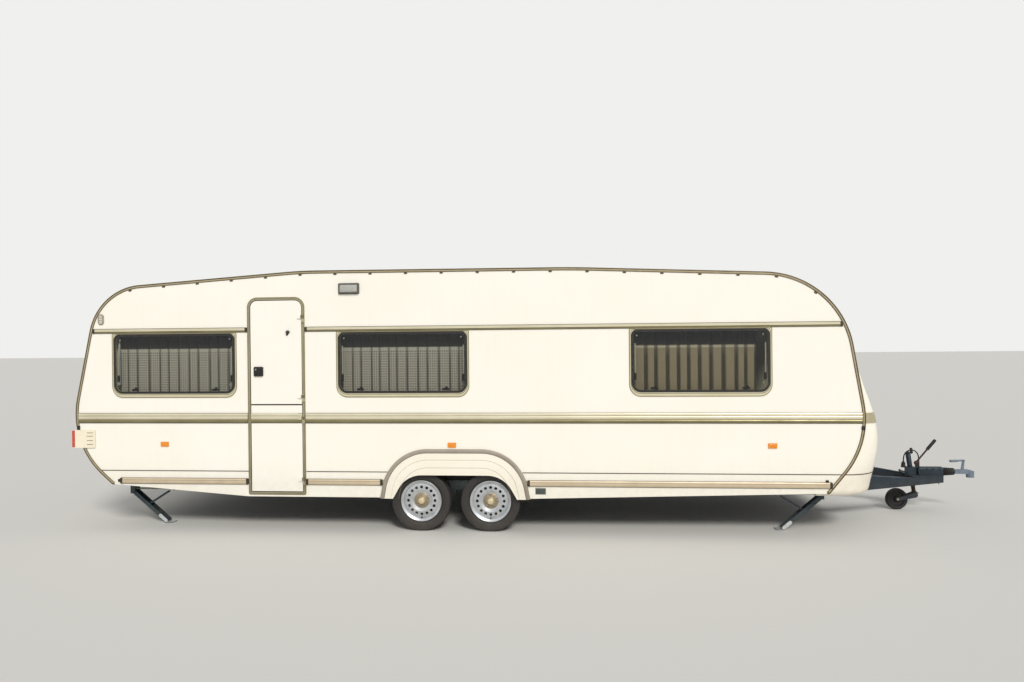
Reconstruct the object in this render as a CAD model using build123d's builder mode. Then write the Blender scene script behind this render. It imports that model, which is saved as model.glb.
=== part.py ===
from build123d import *
import math
import os

# Touring caravan on two axles. Millimetres, +X towards the tow hitch, the door side
# is -Y, +Z is up and z = 0 is the ground it is parked on.

# Body shell
body_half_width = 1245.0
wall = 28.0
skin = 30.0
floor_bottom_z = 440.0
floor_thickness = 40.0
floor_rear_x = -4085.0
trim_line_z = 1953.0

# Side view of the shell: x, z and radius of each corner
body_corners = [
    (-4103.0, 434.0, 40.0),
    (-4547.0, 836.0, 780.0),
    (-4230.0, 2344.0, 560.0),
    (-2180.0, 2487.0, 4000.0),
    (400.0, 2478.0, 9000.0),
    (2812.0, 2381.0, 810.0),
    (3076.0, 855.0, 800.0),
    (2708.0, 395.0, 30.0),
    (0.0, 325.0, 600.0),
    (-2726.0, 325.0, 600.0),
]

# Front moulding: height, x of its flat front and depth of its corner arcs
nose_sections = [
    (364.0, 3155.0, 380.0),
    (600.0, 3180.0, 300.0),
    (800.0, 3186.0, 200.0),
    (1025.0, 3157.0, 138.0),
    (1250.0, 3075.0, 68.0),
    (1485.0, 2985.0, 18.0),
]
nose_wall = 22.0
nose_back_x = 2600.0
front_panel_rear_x = 2900.0
nose_lip_radius = 70.0
nose_notch_half_width = 700.0
nose_notch_top_z = 462.0
steady_notch_half_width = 1120.0
steady_notch_x = 2795.0
locker_floor_thickness = 18.0
locker_back_x = 2580.0
locker_shelf_z = 1085.0
locker_floor_z = 440.0

# Gas locker lid
lid_half_width = 850.0
lid_bottom_z = 620.0
lid_top_z = 1000.0
panel_gap = 6.0

# Stable door
door_rear_x = -2720.0
door_front_x = -2151.0
door_bottom_z = 344.0
door_top_z = 2241.0
door_top_radius = 100.0
door_bottom_radius = 18.0
door_flange = 27.0
door_flange_lap = 12.0
door_thickness = 28.0
door_split_z = 1205.0
frame_proud = 6.0
end_frame_proud = 10.0
door_hinge_x = -2171.0
door_hinge_stand = 17.0
hinge_radius = 9.0
hinge_pin_radius = 5.0
pin_clearance = 0.05
knuckle_length = 34.0
# Hinge heights of the upper and the lower leaf
upper_hinge_z = (2033.0, 1272.0)
lower_hinge_z = (1065.0, 476.0)
handle_x = -2609.0
handle_z = 1528.0
handle_size = 92.0
handle_proud = 14.0

# Side windows: rear x and front x of each surround
side_windows = [(-4092.0, -2828.0), (-1844.0, -565.0), (925.0, 2214.0)]
window_bottom_z = 1278.0
window_top_z = 1909.0
window_bottom_radius = 110.0
window_top_radius = 45.0
window_lap = 14.0
surround_side = 26.0
surround_top = 18.0
surround_bottom = 45.0
pane_thickness = 5.0
pane_radius = 80.0
pane_seat = 8.0

# End windows: half width, bottom height and top height
front_window = (880.0, 1512.0, 1880.0)
rear_window = (800.0, 1290.0, 1880.0)

# Curtains inside the windows
curtain_thickness = 24.0
curtain_stand = 60.0
curtain_rail_size = 18.0
curtain_overlap = 60.0
soft_gap = 0.3

# Trims on the sides: bottom height, top height and how far they stand out
upper_trim = (1909.0, 1953.0, 5.0)
waist_trim = (1035.0, 1127.0, 6.0)
thin_trim = (564.0, 571.0, 3.0)
lower_trim = (444.0, 496.0, 8.0)
rail_band = 24.0
rail_over = 5.0
rail_proud = 5.0
rail_lap = 40.0
rail_free_span = (-4085.0, 2690.0)
rail_free_top_z = 520.0

# Wheel arches
axle_spacing = 664.0
arch_middle_x = -715.0
arch_foot_z = 316.0
arch_outer = (774.0, 627.0, 787.0, 447.0)
arch_inner = (771.0, 463.0, 541.0, 258.0)
arch_trim_width = 37.0
# Steps of the arch panel: distance in from its edge and how far each stands out
arch_steps = [(37.0, 8.0), (104.0, 12.0), (177.0, 16.0)]

# Wheels
wheel_radius = 284.0
tyre_width = 180.0
tyre_outer_y = 1205.0
rim_flange_radius = 195.0
rim_seat_radius = 178.0
rim_well_radius = 150.0
rim_width = 150.0
hand_holes = 16
hand_hole_radius = 14.0
hand_hole_circle = 129.0
stub_radius = 20.0
hub_radius = 48.0
drum_radius = 110.0

# Chassis
rail_y = 620.0
rail_height = 120.0
rail_width = 50.0
rail_wall = 6.0
rail_bottom_z = 290.0
rail_rear_x = -3700.0
bend_x = 3000.0
member_height = 30.0
# Cross members: x of the middle and half length
cross_members = [(-3300.0, 1150.0), (-1900.0, 1150.0), (600.0, 1150.0), (1900.0, 1150.0)]
member_width = 60.0
drawbar_tip_x = 4197.0
drawbar_tip_y = 55.0
drawbar_shoulder_x = 3348.0
drawbar_shoulder_z = 425.0
drawbar_flat_x = 3840.0
drawbar_flat_z = 362.0
axle_tube_radius = 45.0
axle_tube_z = 245.0
axle_lead = 170.0
axle_half_length = 985.0
arm_thickness = 24.0

# Corner steadies: pivot x, foot x and the way they fold (+1 or -1 about +Y)
steadies = [("front", 2710.0, 2367.0), ("rear", -4044.0, -3701.0)]
steady_y = 950.0
steady_pivot_z = 315.0
steady_width = 80.0
steady_wall = 4.0
steady_pin_radius = 7.0
foot_thickness = 6.0
strut_reach = 235.0
strut_width = 40.0

# Hitch
housing_rear_x = 3945.0
housing_front_x = 4199.0
housing_half_width = 48.0
housing_top_z = 445.0
plate_thickness = 8.0
hitch_axis_z = 397.0
bellows_front_x = 4320.0
bellows_radius = 45.0
bellows_ribs = 6
socket_x = 4482.0
socket_bore_radius = 25.2
socket_wall = 13.0
socket_bottom_z = 338.0
socket_rim_height = 37.0

# Jockey wheel: a point on the post's axis, the lean of its top to the rear
jockey_x = 3911.0
jockey_z = 251.0
jockey_lean = 8.0
jockey_outer_radius = 24.0
jockey_inner_radius = 20.0
jockey_tube_gap = 0.08
jockey_wheel_x = 3745.0
jockey_wheel_radius = 110.0
jockey_wheel_width = 56.0
jockey_axle_radius = 8.0
kingpin_radius = 12.0

near = 1
far = -1
sides = {"right": near, "left": far}


def rounded_outline(corners):
    """Flat face from a table of corners: along, up, radius."""
    with BuildSketch() as sketch:
        with BuildLine():
            FilletPolyline([(c[0], c[1]) for c in corners], radius=[c[2] for c in corners], close=True)
        make_face()
    return sketch.sketch


def inset(outline, amount):
    """The outline moved in by amount, or out where amount is negative."""
    with BuildSketch() as sketch:
        add(outline)
        offset(amount=-amount, kind=Kind.INTERSECTION)
    return sketch.sketch


def difference(outer, inner):
    """The band between two outlines."""
    with BuildSketch() as sketch:
        add(outer)
        add(inner, mode=Mode.SUBTRACT)
    return sketch.sketch


def common(first, second):
    """What two outlines share."""
    with BuildSketch() as sketch:
        add(first)
        add(second, mode=Mode.INTERSECT)
    return sketch.sketch


def rectangle(low_x, high_x, low_z, high_z, low_radius=0.0, high_radius=0.0):
    """Rectangle with round lower and round upper corners."""
    return rounded_outline([
        (low_x, low_z, low_radius),
        (high_x, low_z, low_radius),
        (high_x, high_z, high_radius),
        (low_x, high_z, high_radius),
    ])


def side_plane(side, inner_y, outer_y):
    """Plane from which a face is extruded by outer_y - inner_y on one side of the body."""
    return Plane.XZ.offset(inner_y if side == near else -outer_y)


def link_outline(first, second):
    """Bar with round ends: each end is along, up, radius."""
    with BuildSketch() as sketch:
        for along, up, radius in (first, second):
            with Locations((along, up)):
                Circle(radius)
        make_hull()
    return sketch.sketch


def slab(outline, side, inner_y, outer_y):
    """Solid from a side view outline between two distances from the middle plane."""
    with BuildPart() as piece:
        with BuildSketch(side_plane(side, inner_y, outer_y)):
            add(outline)
        extrude(amount=outer_y - inner_y)
    return piece.part


def across(outline, half_width):
    """Solid from a side view outline, right across the body."""
    with BuildPart() as piece:
        with BuildSketch(Plane.XZ):
            add(outline)
        extrude(amount=half_width, both=True)
    return piece.part


def block(low, high):
    """Box between two corners."""
    middle = [(a + b) / 2 for a, b in zip(low, high)]
    with BuildPart() as piece:
        with Locations(tuple(middle)):
            Box(*[b - a for a, b in zip(low, high)])
    return piece.part


def rod(start, end, radius):
    """Round bar between two points."""
    run = Vector(*end) - Vector(*start)
    with BuildPart() as piece:
        with BuildSketch(Plane(origin=start, z_dir=run)):
            Circle(radius)
        extrude(amount=run.length)
    return piece.part


def finish(piece, name):
    """Label a piece and write its file."""
    piece.part.label = name
    export_step(piece.part, f"parts/{name}.step")


os.makedirs("parts", exist_ok=True)

body_outline = rounded_outline(body_corners)
shell_band = difference(body_outline, inset(body_outline, skin))
shell_half_width = body_half_width - wall
rear_limit = -6000.0
front_limit = 6000.0
top_limit = 3000.0

arch_outline = {
    name: rounded_outline([
        (arch_middle_x - foot, 0.0, 0.0),
        (arch_middle_x - top, height, radius),
        (arch_middle_x + top, height, radius),
        (arch_middle_x + foot, 0.0, 0.0),
    ])
    for name, (foot, top, height, radius) in {"outer": arch_outer, "inner": arch_inner}.items()
}
above_arch_foot = rectangle(rear_limit, front_limit, arch_foot_z, top_limit)

door_outline = rectangle(door_rear_x, door_front_x, door_bottom_z, door_top_z, door_bottom_radius, door_top_radius)
door_hole = inset(door_outline, door_flange_lap)
door_inner = inset(door_outline, door_flange)
leaf_outline = inset(door_outline, door_flange + panel_gap)


def window_outline(low_x, high_x, low_z=window_bottom_z, high_z=window_top_z):
    return rectangle(low_x, high_x, low_z, high_z, window_bottom_radius, window_top_radius)


def pane_outline(low_x, high_x, low_z=window_bottom_z, high_z=window_top_z):
    return rectangle(
        low_x + surround_side,
        high_x - surround_side,
        low_z + surround_bottom,
        high_z - surround_top,
        pane_radius,
        pane_radius,
    )


window_frames_outer = [window_outline(*window) for window in side_windows]
window_panes_outer = [pane_outline(*window) for window in side_windows]

# Side walls
for name, side in sides.items():
    with BuildPart() as side_wall:
        add(slab(body_outline, side, shell_half_width, body_half_width))
        add(slab(arch_outline["inner"], side, shell_half_width, body_half_width), mode=Mode.SUBTRACT)
        for outline in window_frames_outer:
            add(slab(inset(outline, window_lap), side, shell_half_width, body_half_width), mode=Mode.SUBTRACT)
        if side == near:
            add(slab(door_hole, side, shell_half_width, body_half_width), mode=Mode.SUBTRACT)
    finish(side_wall, f"side_wall_{name}")

# Roof, front wall and rear wall between the side walls
roof_zone = rectangle(rear_limit, front_limit, trim_line_z, top_limit)
rear_zone = rectangle(rear_limit, floor_rear_x, 0.0, trim_line_z)
front_zone = rectangle(front_panel_rear_x, front_limit, locker_shelf_z, trim_line_z)
locker_profile = rounded_outline([
    (locker_back_x, locker_floor_z + floor_thickness, 0.0),
    (locker_back_x + skin, locker_floor_z + floor_thickness, 0.0),
    (locker_back_x + skin, locker_shelf_z, 20.0),
    (front_limit, locker_shelf_z, 0.0),
    (front_limit, locker_shelf_z + skin, 0.0),
    (locker_back_x, locker_shelf_z + skin, 40.0),
])

# Rooflights: x of the middle, half length and half width
rooflights = [("rear", -1400.0, 230.0, 230.0), ("front", 1300.0, 230.0, 230.0)]
rooflight_lap = 18.0

with BuildPart() as roof_panel:
    add(across(common(shell_band, roof_zone), shell_half_width))
    for name, x, half_length, half_width in rooflights:
        opening = block(
            (x - half_length + rooflight_lap, -half_width + rooflight_lap, trim_line_z),
            (x + half_length - rooflight_lap, half_width - rooflight_lap, top_limit),
        )
        add(opening, mode=Mode.SUBTRACT)
finish(roof_panel, "roof_panel")


def shell_edge_x(height, front):
    """x of the shell's outer face at a height, at its front or rear end."""
    line = common(body_outline, rectangle(rear_limit, front_limit, height - 0.5, height + 0.5))
    box = line.bounding_box()
    return box.max.X if front else box.min.X


def end_window_plane(window, front):
    """Plane through the chord of an end window, facing out, with y up the panel."""
    low_z, high_z = window[1:]
    low = Vector(shell_edge_x(low_z, front), 0, low_z)
    high = Vector(shell_edge_x(high_z, front), 0, high_z)
    up = (high - low).normalized()
    across_dir = Vector(0, 1, 0) if front else Vector(0, -1, 0)
    return Plane(origin=(low + high) * 0.5, x_dir=across_dir, z_dir=across_dir.cross(up)), (high - low).length


def end_window(window, front):
    """Surround, hole and pane of an end window as solids."""
    plane, height = end_window_plane(window, front)
    half_width = window[0]
    outline = window_outline(-half_width, half_width, -height / 2, height / 2)
    glazing = pane_outline(-half_width, half_width, -height / 2, height / 2)
    with BuildPart() as hole:
        with BuildSketch(plane.offset(-3 * skin)):
            add(inset(outline, window_lap))
        extrude(amount=6 * skin)
    with BuildPart() as surround:
        with BuildSketch(plane.offset(-skin)):
            add(difference(inset(outline, window_lap + soft_gap), inset(glazing, pane_seat)))
        extrude(amount=skin)
        with BuildSketch(plane):
            add(difference(outline, inset(glazing, pane_seat)))
        extrude(amount=end_frame_proud)
    with BuildPart() as pane:
        with BuildSketch(plane.offset(end_frame_proud)):
            add(glazing)
        extrude(amount=pane_thickness)
    return hole.part, surround.part, pane.part


front_hole, front_surround, front_pane = end_window(front_window, True)
rear_hole, rear_surround, rear_pane = end_window(rear_window, False)

with BuildPart() as front_wall:
    add(across(common(shell_band, front_zone), shell_half_width))
    add(across(common(locker_profile, body_outline), shell_half_width))
    add(front_hole, mode=Mode.SUBTRACT)
finish(front_wall, "front_wall")

with BuildPart() as rear_wall:
    add(across(common(shell_band, rear_zone), shell_half_width))
    add(rear_hole, mode=Mode.SUBTRACT)
finish(rear_wall, "rear_wall")

# Sizes of the wheel tubs, which the floor is cut out for
tub_half_length = 640.0
tub_inner_y = 950.0
tub_top_z = 640.0
tub_wall = 6.0

# Wheel tubs
with BuildPart() as wheel_tubs:
    for side in sides.values():
        low_y, high_y = sorted((-side * tub_inner_y, -side * shell_half_width))
        inner_low, inner_high = sorted((-side * (tub_inner_y + tub_wall), -side * shell_half_width))
        add(block(
            (arch_middle_x - tub_half_length, low_y, floor_bottom_z),
            (arch_middle_x + tub_half_length, high_y, tub_top_z),
        ))
        add(block(
            (arch_middle_x - tub_half_length + tub_wall, inner_low, floor_bottom_z),
            (arch_middle_x + tub_half_length - tub_wall, inner_high, tub_top_z - tub_wall),
        ), mode=Mode.SUBTRACT)
finish(wheel_tubs, "wheel_tubs")


def nose_solid(inward, stand_out=0.0):
    """Front moulding as a closed form, moved in by inward or out by stand_out."""
    with BuildPart() as nose:
        for height, front_x, corner in nose_sections:
            move = stand_out - inward
            with BuildSketch(Plane.XY.offset(height)) as section:
                with BuildLine():
                    half = body_half_width + move
                    depth = max(corner, 4.0)
                    FilletPolyline(
                        (nose_back_x, -half),
                        (front_x + move, -half),
                        (front_x + move, half),
                        (nose_back_x, half),
                        radius=[0.0, depth, depth, 0.0],
                        close=True,
                    )
                make_face()
        loft()
    return nose.part


nose_outer = nose_solid(0.0)
nose_inner = nose_solid(nose_wall)
nose_hollow = block((0.0, -2000.0, nose_sections[0][0] + nose_wall), (front_limit, 2000.0, nose_sections[-1][0] - nose_wall))
shell_keep_out = across(body_outline, body_half_width + 50.0)

with BuildPart() as nose_shell:
    add(nose_outer)
    lip = nose_shell.edges().filter_by_position(Axis.Z, nose_sections[0][0] - 1, nose_sections[0][0] + 1)
    fillet(lip.sort_by(Axis.X)[1:], nose_lip_radius)
    with BuildPart(mode=Mode.PRIVATE) as nose_space:
        add(nose_inner)
        add(nose_hollow, mode=Mode.INTERSECT)
    add(nose_space.part, mode=Mode.SUBTRACT)
    add(shell_keep_out, mode=Mode.SUBTRACT)


def nose_surface_x(height):
    """x of the moulding's flat front at a height."""
    with BuildPart() as slice_part:
        add(nose_outer)
        add(block((0.0, -10.0, height - 0.5), (front_limit, 10.0, height + 0.5)), mode=Mode.INTERSECT)
    return slice_part.part.bounding_box().max.X


# Lid hinges: middles along y of the fixed barrels, the moving ones lie beside them
lid_hinge_places = (-600.0, 0.0, 600.0)
lid_barrel_length = 30.0
lid_barrel_radius = 7.0
lid_pin_radius = 3.5
lid_hinge_z = lid_top_z - panel_gap / 2
lid_hinge_x = nose_surface_x(lid_hinge_z) + lid_barrel_radius + 2.0


def lid_barrel(middle_y, low_z, high_z):
    """Barrel of the lid's hinge with its tab up or down the face."""
    low_y = middle_y - lid_barrel_length / 2
    high_y = middle_y + lid_barrel_length / 2
    with BuildPart() as barrel:
        add(rod((lid_hinge_x, low_y, lid_hinge_z), (lid_hinge_x, high_y, lid_hinge_z), lid_barrel_radius))
        tab_x = nose_surface_x((low_z + high_z) / 2)
        add(block((tab_x - 4.0, low_y, low_z), (lid_hinge_x + 4.0, high_y, high_z)))
    return barrel.part


with BuildPart() as front_moulding:
    add(nose_shell.part)
    add(block((0.0, -lid_half_width, lid_bottom_z), (front_limit, lid_half_width, lid_top_z)), mode=Mode.SUBTRACT)
    add(block(
        (0.0, -nose_notch_half_width, 0.0), (front_limit, nose_notch_half_width, nose_notch_top_z)
    ), mode=Mode.SUBTRACT)
    add(block(
        (0.0, -steady_notch_half_width, 0.0), (steady_notch_x, steady_notch_half_width, nose_notch_top_z)
    ), mode=Mode.SUBTRACT)
    for y in lid_hinge_places:
        add(lid_barrel(y, lid_hinge_z, lid_top_z + 24.0))
        pin_end = y + lid_barrel_length / 2 + lid_barrel_length
        add(rod((lid_hinge_x, y, lid_hinge_z), (lid_hinge_x, pin_end, lid_hinge_z), lid_pin_radius))
finish(front_moulding, "front_moulding")


lid_zone = block(
    (2900.0, -lid_half_width + panel_gap, lid_bottom_z + panel_gap),
    (front_limit, lid_half_width - panel_gap, lid_top_z - panel_gap),
)
with BuildPart() as locker_lid:
    add(nose_shell.part)
    add(lid_zone, mode=Mode.INTERSECT)
    for y in lid_hinge_places:
        middle_y = y + lid_barrel_length + 1.0
        add(lid_barrel(middle_y, lid_hinge_z - 30.0, lid_hinge_z))
        low_y = middle_y - lid_barrel_length
        high_y = middle_y + lid_barrel_length
        bore_ends = [(lid_hinge_x, end_y, lid_hinge_z) for end_y in (low_y, high_y)]
        add(rod(*bore_ends, lid_pin_radius + pin_clearance), mode=Mode.SUBTRACT)
finish(locker_lid, "locker_lid")

# Floor, cut out over the wheels
with BuildPart() as cabin_floor:
    add(block(
        (floor_rear_x, -shell_half_width, floor_bottom_z),
        (front_limit, shell_half_width, floor_bottom_z + floor_thickness),
    ))
    for side in sides.values():
        low_y, high_y = sorted((-side * tub_inner_y, -side * body_half_width))
        add(block(
            (arch_middle_x - tub_half_length, low_y, floor_bottom_z),
            (arch_middle_x + tub_half_length, high_y, floor_bottom_z + floor_thickness),
        ), mode=Mode.SUBTRACT)
    add(across(body_outline, body_half_width), mode=Mode.INTERSECT)
with BuildPart() as locker_floor:
    add(nose_solid(nose_wall + soft_gap))
    add(block(
        (0.0, -2000.0, nose_notch_top_z - locker_floor_thickness), (front_limit, 2000.0, nose_notch_top_z)
    ), mode=Mode.INTERSECT)
    add(across(inset(body_outline, -soft_gap), body_half_width + 50.0), mode=Mode.SUBTRACT)

with BuildPart() as floor:
    add(cabin_floor.part)
    add(locker_floor.part)
finish(floor, "floor")


def nose_band(trim):
    """Band round the front of the moulding, in line with a trim of the sides."""
    low_z, high_z, proud = trim
    with BuildPart() as band:
        add(nose_solid(0.0, proud))
        add(block((0.0, -2000.0, low_z), (front_limit, 2000.0, high_z)), mode=Mode.INTERSECT)
        add(nose_outer, mode=Mode.SUBTRACT)
        add(across(inset(body_outline, -rail_over - soft_gap), body_half_width + 50.0), mode=Mode.SUBTRACT)
    return band.part


# Awning rails round the edge of both sides
rail_outer = inset(body_outline, -rail_over)
rail_free = rectangle(*rail_free_span, 0.0, rail_free_top_z)
with BuildPart() as awning_rails:
    for side in sides.values():
        add(slab(
            difference(difference(rail_outer, inset(body_outline, rail_band)), rail_free),
            side,
            body_half_width,
            body_half_width + rail_proud,
        ))
        add(slab(
            common(difference(rail_outer, body_outline), rectangle(rear_limit, front_limit, 1500.0, top_limit)),
            side,
            body_half_width - rail_lap,
            body_half_width,
        ))
finish(awning_rails, "awning_rails")

# Trims along the sides, stopped at the rail, the door frame and the wheel arch
trim_area = inset(body_outline, rail_band)
door_clear = inset(door_outline, -3.0)
arch_clear = inset(arch_outline["outer"], -3.0)


def side_trim(trim, side, low_x=rear_limit, high_x=front_limit):
    """One trim strip within the rail, cut round the door frame and the arch."""
    low_z, high_z, proud = trim
    with BuildSketch() as strip:
        add(common(trim_area, rectangle(low_x, high_x, low_z, high_z)))
        add(arch_clear, mode=Mode.SUBTRACT)
        if side == near:
            add(door_clear, mode=Mode.SUBTRACT)
    return slab(strip.sketch, side, body_half_width, body_half_width + proud)


lower_trim_ends = (-3930.0, 2735.0)
with BuildPart() as side_trims:
    for side in sides.values():
        add(side_trim(upper_trim, side))
        add(side_trim(thin_trim, side))
        add(side_trim(lower_trim, side, *lower_trim_ends))
        add(side_trim(waist_trim, side))
    add(nose_band(waist_trim))
    add(nose_band(thin_trim))
finish(side_trims, "side_trims")

# Wheel arch panels and their edge trims
with BuildPart() as arch_trims:
    for side in sides.values():
        add(slab(
            common(difference(arch_outline["outer"], inset(arch_outline["outer"], arch_trim_width)), above_arch_foot),
            side,
            body_half_width,
            body_half_width + arch_steps[0][1] + 2.0,
        ))
finish(arch_trims, "arch_trims")

with BuildPart() as arch_panels:
    for side in sides.values():
        under = body_half_width
        for move, proud in arch_steps:
            step = difference(inset(arch_outline["outer"], move), arch_outline["inner"])
            add(slab(common(step, above_arch_foot), side, under, body_half_width + proud))
            under = body_half_width + proud
finish(arch_panels, "arch_panels")

# Door frame and the two leaves, hinged on their forward side
hinge_y = body_half_width + door_hinge_stand
leaf_face = body_half_width + 4.0
tab_face = body_half_width + frame_proud + 1.5


def frame_hinge(height):
    """Fixed half of a door hinge: tab, lower barrel and pin."""
    with BuildPart() as hinge:
        add(rod(
            (door_hinge_x, -hinge_y, height - knuckle_length - 0.5),
            (door_hinge_x, -hinge_y, height - 0.5),
            hinge_radius,
        ))
        add(block(
            (door_hinge_x, -hinge_y, height - knuckle_length - 0.5),
            (door_front_x - 2.0, -body_half_width - frame_proud, height - 0.5),
        ))
        add(rod(
            (door_hinge_x, -hinge_y, height - 1.0),
            (door_hinge_x, -hinge_y, height + knuckle_length - 2.0),
            hinge_pin_radius,
        ))
    return hinge.part


def leaf_hinge(height):
    """Moving half of a door hinge: upper barrel and its tab on the leaf."""
    with BuildPart() as hinge:
        for high_x, face_y in ((door_hinge_x, tab_face), (door_hinge_x - 16.0, leaf_face)):
            add(block(
                (door_hinge_x - 48.0, -hinge_y - 2.0, height + 0.5),
                (high_x, -face_y, height + 0.5 + knuckle_length),
            ))
        add(rod(
            (door_hinge_x, -hinge_y, height + 0.5),
            (door_hinge_x, -hinge_y, height + 0.5 + knuckle_length),
            hinge_radius,
        ))
        add(rod(
            (door_hinge_x, -hinge_y, height),
            (door_hinge_x, -hinge_y, height + 1.0 + knuckle_length),
            hinge_pin_radius + pin_clearance,
        ), mode=Mode.SUBTRACT)
    return hinge.part


with BuildPart() as door_frame:
    add(slab(difference(door_outline, door_inner), near, body_half_width, body_half_width + frame_proud))
    add(slab(difference(door_hole, door_inner), near, shell_half_width, body_half_width))
    for height in upper_hinge_z + lower_hinge_z:
        add(frame_hinge(height))
finish(door_frame, "door_frame")

with BuildPart() as door_upper:
    zone = rectangle(rear_limit, front_limit, door_split_z + panel_gap / 2, top_limit)
    add(slab(common(leaf_outline, zone), near, leaf_face - door_thickness, leaf_face))
    for height in upper_hinge_z:
        add(leaf_hinge(height))
finish(door_upper, "door_upper")

with BuildPart() as door_lower:
    zone = rectangle(rear_limit, front_limit, 0.0, door_split_z - panel_gap / 2)
    add(slab(common(leaf_outline, zone), near, leaf_face - door_thickness, leaf_face))
    band = rectangle(rear_limit, door_hinge_x - 52.0, waist_trim[0], waist_trim[1])
    add(slab(common(leaf_outline, band), near, leaf_face, leaf_face + 4.0))
    for height in lower_hinge_z:
        add(leaf_hinge(height))
finish(door_lower, "door_lower")

with BuildPart() as door_handle:
    half = handle_size / 2
    plate = rectangle(handle_x - half, handle_x + half, handle_z - half, handle_z + half, 12.0, 12.0)
    grip = rectangle(handle_x - half + 10.0, handle_x + half - 22.0, handle_z - 16.0, handle_z + 16.0, 10.0, 10.0)
    add(slab(plate, near, leaf_face, leaf_face + handle_proud))
    add(slab(grip, near, leaf_face + handle_proud, leaf_face + handle_proud + 6.0))
finish(door_handle, "door_handle")

# Window surrounds and panes
with BuildPart() as end_surrounds:
    add(front_surround)
    add(rear_surround)
    add(across(common(shell_band, roof_zone), shell_half_width), mode=Mode.SUBTRACT)
    add(front_wall.part, mode=Mode.SUBTRACT)
    add(rear_wall.part, mode=Mode.SUBTRACT)

with BuildPart() as window_surrounds:
    add(end_surrounds.part)
    for side in sides.values():
        for outline, glazing in zip(window_frames_outer, window_panes_outer):
            opening = inset(glazing, pane_seat)
            reveal = difference(inset(outline, window_lap), opening)
            add(slab(difference(outline, opening), side, body_half_width, body_half_width + frame_proud))
            add(slab(reveal, side, shell_half_width, body_half_width))
finish(window_surrounds, "window_surrounds")

pane_face = body_half_width + frame_proud
with BuildPart() as window_panes:
    for side in sides.values():
        for glazing in window_panes_outer:
            add(slab(glazing, side, pane_face, pane_face + pane_thickness))
    add(front_pane)
    add(rear_pane)
finish(window_panes, "window_panes")

# Curtains, each hung from a rail above its window
curtain_top_z = window_top_z + curtain_overlap / 2
rail_inner_y = shell_half_width - curtain_stand - curtain_thickness
# End windows: half width, height of the cloth's foot, its inner face and its outer face
end_curtains = []
for window, front in ((front_window, True), (rear_window, False)):
    inward = -1 if front else 1
    outer_x = shell_edge_x(curtain_top_z + curtain_rail_size, front) + inward * (skin + curtain_stand)
    end_curtains.append((window[0], window[1] - curtain_overlap / 2, outer_x + inward * curtain_thickness, outer_x))

with BuildPart() as end_rails:
    for half_width, foot_z, inner_x, outer_x in end_curtains:
        low_x, high_x = sorted((inner_x, math.copysign(front_limit, outer_x)))
        add(block(
            (low_x, -half_width, curtain_top_z),
            (high_x, half_width, curtain_top_z + curtain_rail_size),
        ))
    add(across(inset(body_outline, skin), shell_half_width), mode=Mode.INTERSECT)
with BuildPart() as curtain_rails:
    for side in sides.values():
        for low_x, high_x in side_windows:
            rail = rectangle(low_x, high_x, curtain_top_z, curtain_top_z + curtain_rail_size)
            add(slab(rail, side, rail_inner_y, shell_half_width))
    add(end_rails.part)
finish(curtain_rails, "curtain_rails")

with BuildPart() as curtains:
    for side in sides.values():
        for low_x, high_x in side_windows:
            cloth = rectangle(
                low_x + 10.0,
                high_x - 10.0,
                window_bottom_z - curtain_overlap / 2,
                curtain_top_z - soft_gap,
            )
            add(slab(cloth, side, rail_inner_y, rail_inner_y + curtain_thickness))
    for half_width, foot_z, inner_x, outer_x in end_curtains:
        low_x, high_x = sorted((inner_x, outer_x))
        add(block(
            (low_x, -half_width + 10.0, foot_z),
            (high_x, half_width - 10.0, curtain_top_z - soft_gap),
        ))
finish(curtains, "curtains")

# Lamps and reflectors
tail_lamp_x = (-4480.0, -4272.0)
tail_lamp_z = (788.0, 963.0)
tail_lamp_inner_y = 1000.0
tail_lamp_proud = 9.0
lens_rear_x = -4520.0
rail_solid_width = body_half_width + rail_proud

with BuildPart() as tail_lamps:
    for side in sides.values():
        outline = rectangle(*tail_lamp_x, *tail_lamp_z, 8.0, 8.0)
        add(slab(outline, side, tail_lamp_inner_y, rail_solid_width + tail_lamp_proud))
    add(across(inset(body_outline, -rail_over), rail_solid_width), mode=Mode.SUBTRACT)
finish(tail_lamps, "tail_lamps")

with BuildPart() as lamp_lenses:
    for side in sides.values():
        outline = rectangle(lens_rear_x, tail_lamp_x[0], tail_lamp_z[0] + 6.0, tail_lamp_z[1] - 6.0)
        add(slab(outline, side, tail_lamp_inner_y + 6.0, rail_solid_width + tail_lamp_proud - 4.0))
        fillet(lamp_lenses.edges().filter_by(Axis.Z).group_by(Axis.X)[0], 14.0)
finish(lamp_lenses, "lamp_lenses")

reflector_size = (80.0, 46.0, 9.0)
reflector_places = [(-3563.0, 826.0), (-736.0, 825.0), (2211.0, 827.0)]
with BuildPart() as side_reflectors:
    half_x = reflector_size[0] / 2
    half_z = reflector_size[1] / 2
    for side in sides.values():
        for x, z in reflector_places:
            outline = rectangle(x - half_x, x + half_x, z - half_z, z + half_z, 4.0, 4.0)
            add(slab(outline, side, body_half_width, body_half_width + reflector_size[2]))
finish(side_reflectors, "side_reflectors")

awning_lamp_box = (-1818.0, -1612.0, 2260.0, 2366.0)
with BuildPart() as awning_lamp:
    outline = rectangle(*awning_lamp_box, 12.0, 12.0)
    add(slab(outline, near, body_half_width, body_half_width + 8.0))
    add(slab(inset(outline, 10.0), near, body_half_width + 8.0, body_half_width + 30.0))
finish(awning_lamp, "awning_lamp")

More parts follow.
